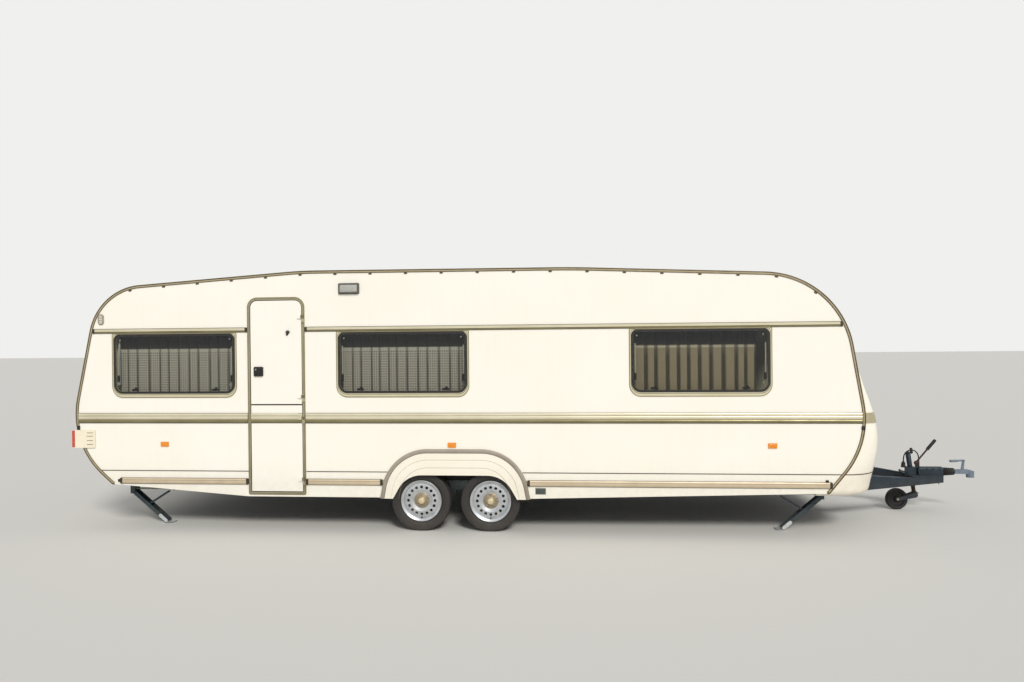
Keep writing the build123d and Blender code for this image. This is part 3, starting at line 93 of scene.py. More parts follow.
# a material with nothing in its tree but the place on the object
def emptyMaterial(name):
    material = bpy.data.materials.new(name)
    material.use_nodes = True
    material.node_tree.nodes.clear()
    return material, material.node_tree, addNode(material.node_tree, "TexCoord").outputs["Object"]


# Finishes: the two colours of its clouds; in millimetres the clouds' width, the grain's width and the
# grain's height; the range of roughness; and what else it has. grime is its colour, the heights above the
# ground in metres where it is full and gone, and its share. wave is a slow relief's width and height in
# millimetres, streak the share of rain marks, band the height, half width and colour of a painted shadow
# line.
finishes = {
    # painted sheet aluminium, roller coated and baked: satin cream, faintly wavy, dusty low down
    "paintedSheet": ("#FCF9F0", "#FAF6EA", 900, 5.0, 0.02, (0.30, 0.44),
                     {"grime": ("#A08F6C", 0.30, 0.78, 0.11), "wave": (420, 0.5), "streak": 0.025}),
    # gel coat over glass fibre: smooth and a little glossier than the sheet
    "gelCoat": ("#FCF7EA", "#F8F1E0", 600, 8.0, 0.015, (0.24, 0.36),
                {"grime": ("#9A8A6A", 0.34, 0.72, 0.12), "wave": (260, 0.35), "streak": 0.025}),
    # lacquered aluminium strip, extruded: olive beige with a satin metal sheen
    "beigeStrip": ("#C2BA9C", "#B3AB8C", 240, 1.5, 0.01, (0.32, 0.46),
                   {"metal": 0.45, "grime": ("#6B6048", 0.4, 0.9, 0.25)}),
    # the same strip on the sides, with a painted shadow line in dark brown along the thin one
    "linedStrip": ("#C2BA9C", "#B3AB8C", 240, 1.5, 0.01, (0.32, 0.46),
                   {"metal": 0.45, "band": (0.5675, 0.0055, "#4A3A2A")}),
    # anodised aluminium, extruded and brushed along: pale champagne face of the mouldings
    "paleStrip": ("#E4DCC2", "#D4CCB0", 420, 1.5, 0.008, (0.28, 0.40), {"metal": 0.45}),
    # anodised aluminium frame of the windows, extruded: pale, almost cream
    "windowStrip": ("#DDD5B8", "#CFC7A8", 240, 1.5, 0.01, (0.32, 0.46), {"metal": 0.3}),
    # anodised aluminium bead, extruded: olive
    "oliveStrip": ("#8F8764", "#7C7453", 260, 1.2, 0.008, (0.28, 0.42), {"metal": 0.5}),
    # dark brown: painted shade in the trims' grooves, along their edges and in the shadow lines round the
    # windows; also the trims' end caps and the door's seal rings
    "shadeLineAndVinyl": ("#3A3226", "#2C261D", 90, 1.0, 0.02, (0.5, 0.65), {}),
    # lacquered aluminium strip on the lower edge: browner from road dust
    "brownStrip": ("#D6C5AA", "#C8B79B", 180, 1.5, 0.01, (0.38, 0.52), {"metal": 0.3}),
    # PVC strip over the wheel arches, extruded: warm grey
    "archStrip": ("#A89F92", "#978E82", 200, 1.5, 0.01, (0.4, 0.55), {"grime": ("#6E6250", 0.3, 0.62, 0.3)}),
    # bronze anodised aluminium, extruded: dark satin brown
    "bronzeRail": ("#6B5C42", "#57492F", 160, 1.2, 0.01, (0.34, 0.5), {"metal": 0.6}),
    # PVC infill of the rail, extruded: soft champagne
    "railInfill": ("#AEA385", "#9D9275", 120, 2.0, 0.01, (0.45, 0.6), {}),
    # EPDM rubber, extruded: matt black seal
    "sealRubber": ("#1E1D1B", "#2A2825", 60, 1.0, 0.02, (0.6, 0.75), {}),
    # ABS, moulded black: fine spark texture
    "blackAbs": ("#191918", "#232220", 50, 0.9, 0.02, (0.38, 0.5), {}),
    # ABS, moulded grey: lamp body and covers
    "greyAbs": ("#6E6D66", "#5F5E57", 60, 1.0, 0.02, (0.35, 0.5), {}),
    # ABS, moulded cream: tail lamp housing and small covers
    "creamAbs": ("#F9F0DA", "#F2E7CE", 120, 1.0, 0.01, (0.3, 0.42), {}),
    # ABS, moulded white: stays, frames and the domes' rims
    "whiteAbs": ("#F4F3EE", "#E9E7E0", 90, 1.0, 0.01, (0.32, 0.46), {}),
    # hot dip galvanised steel: cool grey zinc with cloudy spangle, dulled by weather
    "zincSteel": ("#A3ACB0", "#858F95", 26, 3.0, 0.05, (0.42, 0.62),
                  {"metal": 0.7, "grime": ("#5A5245", 0.0, 0.5, 0.35)}),
    # galvanised steel of the corner steadies, dull and road stained, painted dark for the shade under the
    # floor
    "steadyZinc": ("#4C585E", "#3A454B", 22, 3.0, 0.06, (0.5, 0.7),
                   {"metal": 0.45, "grime": ("#3E372D", 0.0, 0.4, 0.3)}),
    # zinc of the steadies' feet, painted bright as in full sun
    "sunlitZinc": ("#D9DCDC", "#B4B9BB", 14, 2.0, 0.08, (0.35, 0.55), {"metal": 0.35}),
    # painted steel of the drawbar and coupling, chalky: its dark blue grey is painted shade from under the
    # body and a painted reflection of the sky
    "shadedDrawbarPaint": ("#22323F", "#1A2731", 90, 3.0, 0.06, (0.45, 0.62),
                     {"metal": 0.15, "grime": ("#4B4338", 0.25, 0.46, 0.2)}),
    # cast steel coupling, painted grey: slightly rough casting skin
    "castCoupling": ("#7C8896", "#66717E", 50, 2.5, 0.12, (0.45, 0.6), {"metal": 0.3}),
    # drawn steel tube with old paint, rusting through: dark red brown
    "rustySteel": ("#4A2C22", "#2B211D", 22, 1.8, 0.12, (0.6, 0.8), {"metal": 0.2}),
    # zinc plated fasteners: small bright heads
    "platedBolt": ("#A9A69B", "#8A867A", 12, 0.8, 0.02, (0.35, 0.5), {"metal": 0.85}),
    # pressed steel wheel in silver lacquer: even satin grey
    "silverLacquer": ("#C6C9CC", "#AEB2B6", 70, 1.2, 0.015, (0.26, 0.4), {"metal": 0.55}),
    # pressed hub plate in gold lacquer, stained
    "goldLacquer": ("#AD9E83", "#7F725C", 14, 1.0, 0.05, (0.36, 0.55), {"metal": 0.5}),
    # polished brass cap in the middle of the hub: pale and bright
    "capBrass": ("#ECDFBF", "#D3C39A", 10, 0.8, 0.01, (0.22, 0.34), {"metal": 0.6}),
    # vulcanised rubber of tyres: brown black, dusty on the wall
    "tyreRubber": ("#262423", "#33302E", 40, 1.4, 0.08, (0.62, 0.82),
                   {"grime": ("#625B52", -0.05, 0.30, 0.22)}),
    # solid rubber of the jockey wheel: nearly black, matt
    "jockeyRubber": ("#100F0F", "#1B1918", 30, 1.6, 0.08, (0.6, 0.8), {}),
    # neoprene bellows: deep black, dry
    "bellowsRubber": ("#0A0A0A", "#141313", 26, 1.2, 0.05, (0.55, 0.72), {}),
    # bitumen coated plywood under the cabin: brown black, fibrous
    "coatedPly": ("#2E261D", "#3B3124", 70, 5.0, 0.3, (0.7, 0.9), {}),
    # polyethylene wheel tub, vacuum formed black
    "tubPlastic": ("#1B1A19", "#292725", 90, 3.0, 0.1, (0.6, 0.8), {}),
    # PMMA lens, moulded red with prisms behind
    "redLens": ("#D8553A", "#C0402A", 12, 3.0, 0.12, (0.14, 0.22), {"coat": 0.5}),
    # PMMA lens, moulded amber with fine prisms
    "amberLens": ("#F49A26", "#E6850F", 9, 2.6, 0.14, (0.15, 0.24), {"coat": 0.5}),
    # frosted acrylic of the awning lamp
    "frostedLens": ("#B9BAB4", "#A6A7A1", 16, 1.5, 0.05, (0.3, 0.42), {}),
    # opal acrylic dome, vacuum formed: milky
    "opalDome": ("#DAD7CB", "#CBC7B8", 110, 4.0, 0.02, (0.24, 0.34), {"grime": ("#8F8772", 2.45, 2.7, 0.2)}),
    # PVC sheath of the seven core lead, extruded black
    "cableSheath": ("#1C1C1B", "#2A2927", 40, 1.2, 0.03, (0.5, 0.62), {}),
    # ABS, moulded warm grey: small vent covers
    "ventGrey": ("#A39A90", "#8F877E", 40, 1.0, 0.02, (0.4, 0.55), {}),
    # shadow gap in the arch panel's steps, with road dust
    "shadowLine": ("#6B6354", "#574F43", 60, 1.0, 0.02, (0.6, 0.8), {}),
    # louvre openings of the tail lamp, ABS seen in shade
    "louvreBrown": ("#7D4B38", "#6A4030", 20, 1.0, 0.02, (0.5, 0.7), {}),
    # slate grey enamel plate, blank
    "slatePlate": ("#3E4746", "#4B5351", 14, 1.0, 0.02, (0.3, 0.45), {}),
}
# How dust lies and how rain marks run: least and most of the grime's share, sizes of their noise
grimeLook = {"spread": (0.45, 1.9), "dustScale": 14.0, "streakStretch": (9.0, 9.0, 0.45), "streakScale": 3.0}


# Principled surface from a recipe: cloudy mix of two colours, then streaks, a painted shadow line and grime
# by height mixed in by their shares, and relief by a fine and a slow noise
def makeFinish(name):
    first, second, patch, grain, grainHeight, (smooth, matt), more = finishes[name]
    material, tree, place = emptyMaterial(name)
    clouds = addNode(tree, "TexNoise", {"Vector": place, "Scale": 1000 / patch, "Detail": 5.0,
                                        "Roughness": 0.6})
    ramp = addNode(tree, "MapRange", {"Value": clouds, "From Min": 0.34, "From Max": 0.66})
    layers = [(ramp, second)]
    height = addNode(tree, "SeparateXYZ", {"Vector": place}).outputs["Z"]
    if "streak" in more:
        tall = addNode(tree, "Mapping", {"Vector": place, "Scale": grimeLook["streakStretch"]})
        runs = addNode(tree, "TexNoise", {"Vector": tall, "Scale": grimeLook["streakScale"], "Detail": 6.0})
        layers.append((addNode(tree, "MapRange", {"Value": runs, "From Min": 0.52, "From Max": 0.8,
                                                  "To Max": more["streak"]}), more["grime"][0]))
    # painted shadow line: dark colour between two heights
    if "band" in more:
        middle, half, tint = more["band"]
        layers.append((addNode(tree, "Math", {0: height, 1: middle, 2: half}, operation="COMPARE"), tint))
    if "grime" in more:
        tint, foot, top, share = more["grime"]
        least, most = (share * part for part in grimeLook["spread"])
        low = addNode(tree, "MapRange", {"Value": height, "From Min": foot, "From Max": top, "To Min": 1.0,
                                         "To Max": 0.0}, interpolation_type="SMOOTHERSTEP")
        dust = addNode(tree, "TexNoise", {"Vector": place, "Scale": grimeLook["dustScale"], "Detail": 8.0,
                                          "Roughness": 0.7})
        spots = addNode(tree, "MapRange", {"Value": dust, "From Min": 0.3, "From Max": 0.75, "To Min": least,
                                           "To Max": most})
        layers.append((addNode(tree, "Math", {0: low, 1: spots}, operation="MULTIPLY"), tint))
    colour = linear(first)
    for share, tint in layers:
        colour = addNode(tree, "Mix", {0: share, 6: colour, 7: linear(tint)}, data_type="RGBA")
    fine = addNode(tree, "TexNoise", {"Vector": place, "Scale": 1000 / grain, "Detail": 2.0})
    relief = addNode(tree, "Bump", {"Height": fine, "Distance": grainHeight / 1000, "Strength": 0.9})
    if "wave" in more:
        width, waveHeight = more["wave"]
        slow = addNode(tree, "TexNoise", {"Vector": place, "Scale": 1000 / width, "Detail": 1.0})
        relief = addNode(tree, "Bump", {"Height": slow, "Distance": waveHeight / 1000, "Normal": relief})
    rough = addNode(tree, "MapRange", {"Value": clouds, "From Min": 0.3, "From Max": 0.7, "To Min": smooth,
                                       "To Max": matt})
    shader = addNode(tree, "BsdfPrincipled", {"Base Color": colour, "Roughness": rough, "Normal": relief,
                                              "Metallic": more.get("metal", 0.0),
                                              "Coat Weight": more.get("coat", 0.0)})
    addNode(tree, "OutputMaterial", {"Surface": shader})
    return material


# Smoked acrylic: clear, dark grey and glossy, so the curtains show dimly through it
def makeSmokedAcrylic():
    material, tree, place = emptyMaterial("smokedAcrylic")
    dust = addNode(tree, "TexNoise", {"Vector": place, "Scale": 11.0, "Detail": 7.0, "Roughness": 0.7})
    rough = addNode(tree, "MapRange", {"Value": dust, "From Min": 0.35, "From Max": 0.8, "To Min": 0.015,
                                       "To Max": 0.09})
    bend = addNode(tree, "TexNoise", {"Vector": place, "Scale": 2.2, "Detail": 1.0})
    relief = addNode(tree, "Bump", {"Height": bend, "Distance": 0.0012})
    glance = addNode(tree, "Fresnel", {"IOR": 1.49, "Normal": relief})
    # only the face that the eye meets first shines: the other one would mirror what is inside the pane
    turned = addNode(tree, "NewGeometry").outputs["Backfacing"]
    facing = addNode(tree, "Math", {0: 1.0, 1: turned}, operation="SUBTRACT")
    glance = addNode(tree, "Math", {0: glance, 1: facing}, operation="MULTIPLY")
    clear = addNode(tree, "BsdfTransparent", {"Color": linear("#E0E0DB")})
    shine = addNode(tree, "BsdfPrincipled", {"Base Color": linear("#E9EEF4"), "Metallic": 1.0,
                                             "Roughness": rough, "Normal": relief})
    addNode(tree, "OutputMaterial", {"Surface": addNode(tree, "MixShader", {0: glance, 1: clear, 2: shine})})
    return material


# Curtain cloth in metres of its own UV map: threads both ways, painted shade above the heading, painted shade
# in the folds.
# rowPitch and threadPitch are drawn coarser than real threads so that they show.
clothKinds = {
    # voile with a woven net pattern, polyester: grey beige, rows of small squares
    "netVoile": {"colour": "#F1EFEE", "thread": "#77716C", "rowPitch": 0.024, "threadPitch": 0.022,
                 "share": 0.80, "fold": 0.80, "headShade": "#34322F", "tape": "#FBF9F4", "sheen": 0.25},
    # plain woven cotton: warm beige
    "plainCotton": {"colour": "#C9BCA4", "thread": "#B5A78E", "rowPitch": 0.004, "threadPitch": 0.004,
                    "share": 0.35, "fold": 0.85, "headShade": "#2E2D2B", "tape": "#FFF9EC", "sheen": 0.3},
}
# Curtains' places: foot and heading tape above the ground, how far from the body's middle the deep and the
# front of a fold lie, and the reach along x in which folds darken
drape = {"foot": 1.248, "heading": 1.745, "folds": (1.1375, 1.1495), "reach": (-4.15, 2.3),
         "shade": "#2B2620", "tapeShare": 0.85}


# weave by the product of two sines, then painted shade above the heading, the tape and painted shade in the
# folds mixed in by their shares
def makeCloth(name):
    kind = clothKinds[name]
    material, tree, place = emptyMaterial(name)
    flat = addNode(tree, "SeparateXYZ", {"Vector": addNode(tree, "UVMap", uv_map="cloth")}).outputs
    spot = addNode(tree, "SeparateXYZ", {"Vector": place}).outputs
    waves = []
    for axis, pitch in (("X", kind["threadPitch"]), ("Y", kind["rowPitch"])):
        phase = addNode(tree, "Math", {0: flat[axis], 1: 2 * math.pi / pitch}, operation="MULTIPLY")
        wave = addNode(tree, "Math", {0: phase}, operation="SINE")
        waves.append(addNode(tree, "MapRange", {"Value": wave, "From Min": -1.0}))
    weave = addNode(tree, "Math", {0: waves[0], 1: waves[1]}, operation="MULTIPLY")
    threads = addNode(tree, "MapRange", {"Value": weave, "From Min": 0.1, "From Max": 0.6,
                                         "To Max": kind["share"]})
    edge = drape["heading"] - drape["foot"]
    # painted shade over the cloth above the heading tape
    above = addNode(tree, "MapRange", {"Value": flat["Y"], "From Min": edge, "From Max": edge + 0.012})
    tapeLow = addNode(tree, "MapRange", {"Value": flat["Y"], "From Min": edge - 0.022,
                                         "From Max": edge - 0.016})
    tapeHigh = addNode(tree, "MapRange", {"Value": flat["Y"], "From Min": edge - 0.002,
                                          "From Max": edge + 0.004, "To Min": 1.0, "To Max": 0.0})
    tape = addNode(tree, "Math", {0: tapeLow, 1: tapeHigh}, operation="MULTIPLY")
    tape = addNode(tree, "Math", {0: tape, 1: drape["tapeShare"]}, operation="MULTIPLY")
    # folds: painted shade, the colour sinking towards black where the cloth lies deep behind its front
    depth = addNode(tree, "Math", {0: spot["Y"]}, operation="ABSOLUTE")
    fold = addNode(tree, "MapRange", {"Value": depth, "From Min": drape["folds"][0],
                                      "From Max": drape["folds"][1], "To Min": kind["fold"], "To Max": 0.0})
    ahead = addNode(tree, "Math", {0: spot["X"], 1: drape["reach"][1]}, operation="LESS_THAN")
    behind = addNode(tree, "Math", {0: spot["X"], 1: drape["reach"][0]}, operation="GREATER_THAN")
    within = addNode(tree, "Math", {0: ahead, 1: behind}, operation="MULTIPLY")
    folded = addNode(tree, "Math", {0: fold, 1: within}, operation="MULTIPLY")
    colour = linear(kind["colour"])
    for share, tint in ((threads, kind["thread"]), (above, kind["headShade"]), (tape, kind["tape"]),
                        (folded, drape["shade"])):
        colour = addNode(tree, "Mix", {0: share, 6: colour, 7: linear(tint)}, data_type="RGBA")
    relief = addNode(tree, "Bump", {"Height": weave, "Distance": 0.0006, "Strength": 0.8})
    shader = addNode(tree, "BsdfPrincipled", {"Base Color": colour, "Roughness": 0.85,
                                              "Sheen Weight": kind["sheen"], "Normal": relief})
    addNode(tree, "OutputMaterial", {"Surface": shader})
    return material


materials = {name: makeFinish(name) for name in finishes}
materials["smokedAcrylic"] = makeSmokedAcrylic()
for name in clothKinds:
    materials[name] = makeCloth(name)
print("materials ready:", len(materials))


# four corners of each cell of a grid; closeU and closeV join the last row to the first
def gridQuads(countU, countV, closeU=False, closeV=False):
    cellsU, cellsV = countU if closeU else countU - 1, countV if closeV else countV - 1
    i, j = np.meshgrid(np.arange(cellsU), np.arange(cellsV), indexing="ij")
    nextI, nextJ = (i + 1) % countU, (j + 1) % countV
    return np.stack([i * countV + j, nextI * countV + j, nextI * countV + nextJ, i * countV + nextJ],
                    -1).reshape(-1, 4)


# a closed shell faces outwards when the volume summed over its faces is positive
def outward(points, quads):
    a, b, c, d = (points[quads[:, k]] for k in range(4))
    volume = np.einsum("ij,ij->", a, np.cross(b, c)) + np.einsum("ij,ij->", a, np.cross(c, d))
    return (points, quads) if volume > 0 else (points, quads[:, ::-1])


# a stack of equal rings closed at both ends onto their middles
def stack(rings):
    rings = np.asarray(rings, float)
    ends = [np.repeat(ring.mean(0)[None], len(ring), 0) for ring in (rings[0], rings[-1])]
    grid = np.concatenate([[ends[0]], rings, [ends[1]]])
    return outward(grid.reshape(-1, 3), gridQuads(len(grid), grid.shape[1], closeV=True))


# a closed frame through rings that all have the same number of points
def ringShell(rings):
    grid = np.asarray(rings)
    return outward(grid.reshape(-1, 3), gridQuads(len(grid), grid.shape[1], True, True))


# shells joined into one mesh at the origin, doubles merged, riding on a CAD body
def putPiece(name, shells, bodyName, finish, sharp=35.0, keepDoubles=False):
    points, quads, first = [], [], 0
    for shellPoints, shellQuads in shells:
        points.append(np.asarray(shellPoints, float).reshape(-1, 3))
        quads.append(np.asarray(shellQuads) + first)
        first += len(points[-1])
    mesh = bpy.data.meshes.new(name)
    mesh.from_pydata(np.concatenate(points).tolist(), [], np.concatenate(quads).tolist())
    if not keepDoubles:
        work = bmesh.new()
        work.from_mesh(mesh)
        bmesh.ops.remove_doubles(work, verts=work.verts, dist=2e-6)
        work.to_mesh(mesh)
        work.free()
    mesh.shade_smooth()
    mesh.set_sharp_from_angle(angle=math.radians(sharp))
    made = bpy.data.objects.new(name, mesh)
    bpy.context.scene.collection.objects.link(made)
    mesh.materials.append(materials[finish])
    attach(made, bodyName)
    return made


# smooth step: 3 t squared less 2 t cubed, where t goes from 0 to 1 between low and high
def smoothStep(value, low, high):
    t = np.clip((value - low) / (high - low), 0, 1)
    return t * t * (3 - 2 * t)


# Catmull-Rom curve: each point is the cubic through its run's ends, with slopes of half the chord across
def smoothLine(points, perRun):
    points = np.asarray(points, float)
    padded = np.concatenate([2 * points[:1] - points[1:2], points, 2 * points[-1:] - points[-2:-1]])
    before, start, end, after = (p[:, None, :] for p in (padded[:-3], padded[1:-2], padded[2:-1], padded[3:]))
    t = np.linspace(0, 1, perRun, endpoint=False)[None, :, None]
    line = 0.5 * (2 * start + (end - before) * t + (2 * before - 5 * start + 4 * end - after) * t ** 2
                  + (3 * start - before - 3 * end + after) * t ** 3)
    return np.concatenate([line.reshape(-1, points.shape[1]), points[-1:]])


# a line's points at even steps of its length
def evenLine(line, count):
    run = np.concatenate([[0], np.cumsum(np.linalg.norm(np.diff(line, axis=0), axis=1))])
    even = np.linspace(0, run[-1], count)
    return np.stack([np.interp(even, run, line[:, k]) for k in (0, 1)], -1)


# outline of a rounded rectangle: quarter arcs about its four corner centres
def roundedRing(halfWide, halfHigh, lowRadius, highRadius=None, steps=6):
    highRadius = lowRadius if highRadius is None else highRadius
    turn = np.linspace(0, math.pi / 2, steps + 1)
    ring = []
    for k, (sideU, sideV) in enumerate(((1, 1), (-1, 1), (-1, -1), (1, -1))):
        radius = max(highRadius if sideV > 0 else lowRadius, 1e-5)
        angle = turn + k * math.pi / 2
        ring.append(np.stack([sideU * (halfWide - radius) + radius * np.cos(angle),
                              sideV * (halfHigh - radius) + radius * np.sin(angle)], -1))
    return np.concatenate(ring)


# outline through a table of corners: each corner is an arc of its radius, tangent to both runs
def roundedPath(corners, steps):
    table = np.asarray(corners, float)
    line = []
    for k in range(len(table)):
        corner, radius = table[k, :2], table[k, 2]
        toBack = table[k - 1, :2] - corner
        toNext = table[(k + 1) % len(table), :2] - corner
        back, ahead = toBack / np.linalg.norm(toBack), toNext / np.linalg.norm(toNext)
        half = math.acos(np.clip(back @ ahead, -1, 1)) / 2
        middle = (back + ahead) / np.linalg.norm(back + ahead)
        centre = corner + middle * radius / math.sin(half)
        first = corner + back * radius / math.tan(half) - centre
        last = corner + ahead * radius / math.tan(half) - centre
        span = math.atan2(first[0] * last[1] - first[1] * last[0], first @ last)
        angle = math.atan2(first[1], first[0]) + np.linspace(0, span, steps)
        line.append(centre + radius * np.stack([np.cos(angle), np.sin(angle)], -1))
    return np.concatenate(line)


# a closed outline moved inwards: each point goes along the mean normal of its two runs
def insetPath(line, amount):
    step = np.roll(line, -1, 0) - np.roll(line, 1, 0)
    normal = np.stack([-step[:, 1], step[:, 0]], -1)
    normal /= np.linalg.norm(normal, axis=1)[:, None]
    turn = np.sign(np.sum(line[:, 0] * np.roll(line[:, 1], -1) - np.roll(line[:, 0], -1) * line[:, 1]))
    return line + normal * amount * turn


# a flat path on one side of the body: x and height, standing out from the wall
def onSide(side, line, out):
    line = np.asarray(line, float)
    return np.stack([line[:, 0], np.full(len(line), -side * (halfWidth + out)), line[:, 1]], -1)


# profile carried along a path: its first column goes across the path, its second along the reference
def sweep(path, profile, reference, closed=False):
    path, profile = np.asarray(path, float), np.asarray(profile, float)
    run = np.roll(path, -1, 0) - np.roll(path, 1, 0) if closed else np.gradient(path, axis=0)
    run /= np.linalg.norm(run, axis=1)[:, None]
    across = np.cross(np.asarray(reference, float), run)
    across /= np.linalg.norm(across, axis=1)[:, None]
    away = np.cross(run, across)
    rings = path[:, None] + across[:, None] * profile[None, :, :1] + away[:, None] * profile[None, :, 1:]
    return ringShell(rings) if closed else stack(rings)


# half round bead: points of a half circle standing out, flattened, with a foot just below the path
def halfRound(radius, steps, flat, depth=0.0008):
    angle = np.linspace(0, math.pi, steps)
    arc = np.stack([radius * np.cos(angle), flat * radius * np.sin(angle)], -1)
    return np.concatenate([arc, [[-radius, -depth], [radius, -depth]]])


# full round of a tube, carried along a path
def tube(path, radius, steps=14):
    angle = np.arange(steps) * 2 * math.pi / steps
    return sweep(path, np.stack([radius * np.cos(angle), radius * np.sin(angle)], -1), (0.0, 1.0, 0.0))


# profile (radius, distance along the axis) turned about an axis; the axis' ends close onto points
def lathe(profile, origin, axis, count=48, closed=False):
    profile = np.asarray(profile, float)
    axis = np.asarray(axis, float) / np.linalg.norm(axis)
    start = np.cross(axis, (0.0, 0.0, 1.0) if abs(axis[2]) < 0.9 else (1.0, 0.0, 0.0))
    start /= np.linalg.norm(start)
    other = np.cross(axis, start)
    angle = np.arange(count) * 2 * math.pi / count
    ray = np.cos(angle)[:, None] * start + np.sin(angle)[:, None] * other
    points = np.asarray(origin) + ray[:, None] * profile[None, :, :1] + axis * profile[None, :, 1:]
    return outward(points.reshape(-1, 3), gridQuads(count, len(profile), True, closed))


# plate on a rounded rectangle: levels are its foot, its edge, how far it goes in above that, and its face;
# wide, high and out are its directions
def plate(origin, halfWide, halfHigh, radius, levels, out, wide=(1.0, 0.0, 0.0), high=(0.0, 0.0, 1.0)):
    foot, edge, soft, face = levels
    out, wide, high = (np.asarray(v, float) for v in (out, wide, high))
    rings = []
    for inset, height in ((0, foot), (0, edge), (soft, face)):
        ring = roundedRing(halfWide - inset, halfHigh - inset, max(radius - inset, 0.0004), steps=5)
        rings.append(np.asarray(origin) + ring[:, :1] * wide + ring[:, 1:] * high + out * height)
    return stack(rings)


# the same shell set down at many places
def copies(shell, places):
    points, quads = shell
    places = np.asarray(places, float).reshape(-1, 3)
    moved = (points[None] + places[:, None]).reshape(-1, 3)
    offset = (np.arange(len(places)) * len(points))[:, None, None]
    return moved, (quads[None] + offset).reshape(-1, 4)


# hexagon heads on round washers, lying along out at their places
def bolts(size, out, places):
    washer = lathe(size * np.array([(0, 0), (1.15, 0), (1.15, 0.16), (0, 0.16)]), (0, 0, 0), out, 20)
    head = lathe(size * np.array([(0, 0.1), (1, 0.1), (1, 0.72), (0.82, 0.86), (0, 0.86)]), (0, 0, 0), out, 6)
    both = np.concatenate([washer[0], head[0]]), np.concatenate([washer[1], head[1] + len(washer[0])])
    return copies(outward(*both), places)


# Camera: columns are its right, its up and backwards, from the yaw, pitch and roll above
yaw, pitch, roll = (math.radians(viewpoint[key]) for key in ("yaw", "pitch", "roll"))
ahead = Vector((-math.sin(yaw) * math.cos(pitch), math.cos(yaw) * math.cos(pitch), math.sin(pitch)))
level = Vector((math.cos(yaw), math.sin(yaw), 0.0))
upright = level.cross(ahead)
right = math.cos(roll) * level + math.sin(roll) * upright
up = -math.sin(roll) * level + math.cos(roll) * upright
lens = bpy.data.cameras.new("photoCamera")
lens.lens = viewpoint["lens"]
lens.sensor_width = 36.0
lens.clip_end = 300.0
camera = bpy.data.objects.new("photoCamera", lens)
bpy.context.scene.collection.objects.link(camera)
turned = Matrix((right, up, -ahead)).transposed()
camera.matrix_world = Matrix.Translation(viewpoint["place"]) @ turned.to_4x4()
bpy.context.scene.camera = camera
print("camera placed")

# Electric lead: a NURBS curve over the same points as the CAD tube, from its gland down to the plug
leadRoute = [(3.950, -0.060, 0.452), (3.951, -0.060, 0.500), (3.949, -0.059, 0.548), (3.941, -0.059, 0.586),
             (3.919, -0.060, 0.614), (3.889, -0.062, 0.628), (3.856, -0.064, 0.627), (3.825, -0.066, 0.611),
             (3.804, -0.065, 0.584), (3.797, -0.061, 0.548), (3.797, -0.058, 0.513)]
leadCurve = bpy.data.curves.new("electricLead", "CURVE")
leadCurve.dimensions = "3D"
leadCurve.bevel_depth = 0.006
leadCurve.bevel_resolution = 6
leadCurve.use_fill_caps = True
run = leadCurve.splines.new("NURBS")
run.points.add(len(leadRoute) - 1)
for point, place in zip(run.points, leadRoute):
    point.co = (*place, 1.0)
run.order_u = 3
run.use_endpoint_u = True
run.resolution_u = 8
electricLead = bpy.data.objects.new("electricLead", leadCurve)
bpy.context.scene.collection.objects.link(electricLead)
leadCurve.materials.append(materials["cableSheath"])
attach(electricLead, "body")
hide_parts("lead")
print("lead laid")

# CAD nodes of each finish; those of a kind go by the start of their name, and the rest is black ABS
nodesOf = {
    "paintedSheet": "side_wall_left side_wall_right roof_panel front_wall rear_wall door_upper door_lower",
    "gelCoat": "front_moulding locker_lid arch_panels", "archStrip": "arch_trims", "linedStrip": "side_trims",
    "creamAbs": "tail_lamps fridge_vents", "coatedPly": "floor", "tubPlastic": "wheel_tubs",
    "beigeStrip": "door_frame window_surrounds", "bronzeRail": "awning_rails", "redLens": "lamp_lenses",
    "whiteAbs": "rooflight_frames curtain_rails", "opalDome": "rooflight_lid_front rooflight_lid_rear",
    "smokedAcrylic": "window_panes", "amberLens": "side_reflectors", "greyAbs": "awning_lamp",
    "zincSteel": "chassis_rails cross_members axles", "castCoupling": "coupling_head",
    "shadedDrawbarPaint": "drawbar overrun_housing jockey_mount jockey_fork", "jockeyRubber": "jockey_wheel",
    "rustySteel": "handbrake_lever jockey_inner_tube", "bellowsRubber": "bellows",
}
finishOf = {name: finish for finish, names in nodesOf.items() for name in names.split()}
kindFinish = {"rim": "silverLacquer", "steady": "steadyZinc", "tyre": "tyreRubber"}
for name, node in nodes.items():
    finish = finishOf.get(name) or kindFinish.get(name.split("_")[0], "blackAbs")
    node.data.materials.clear()
    node.data.materials.append(materials[finish])
print("CAD nodes finished:", len(nodes))

# Tyres: an outer skin from bead to bead, its tread cut by a depth worked out for each point. Each rib of
# the wall is a radius and a width; slots lean back from the middle; wallEnd is where the tread fades in.
tyreShape = {"width": 0.180, "outerY": 1.205, "radius": 0.284, "grooves": (-0.050, -0.017, 0.017, 0.050),
             "grooveHalf": 0.0036, "grooveDepth": 0.0065, "blocks": 66, "slotHalf": 0.0020,
             "slotDepth": 0.0045, "lean": 0.30, "around": 420, "ribs": ((0.2055, 0.0018), (0.2500, 0.0016)),
             "ribHeight": 0.0008, "treadHalf": 0.0760, "crown": 0.0018, "wallEnd": (0.268, 0.279),
             "slotFree": 0.020}
# half section of the wall: radius and distance from the middle
tyreWall = [(0.1783, 0.0610), (0.1965, 0.0668), (0.2005, 0.0740), (0.2110, 0.0845), (0.2270, 0.0892),
            (0.2440, 0.0894), (0.2590, 0.0885), (0.2700, 0.0865), (0.2775, 0.0835), (0.2812, 0.0795)]


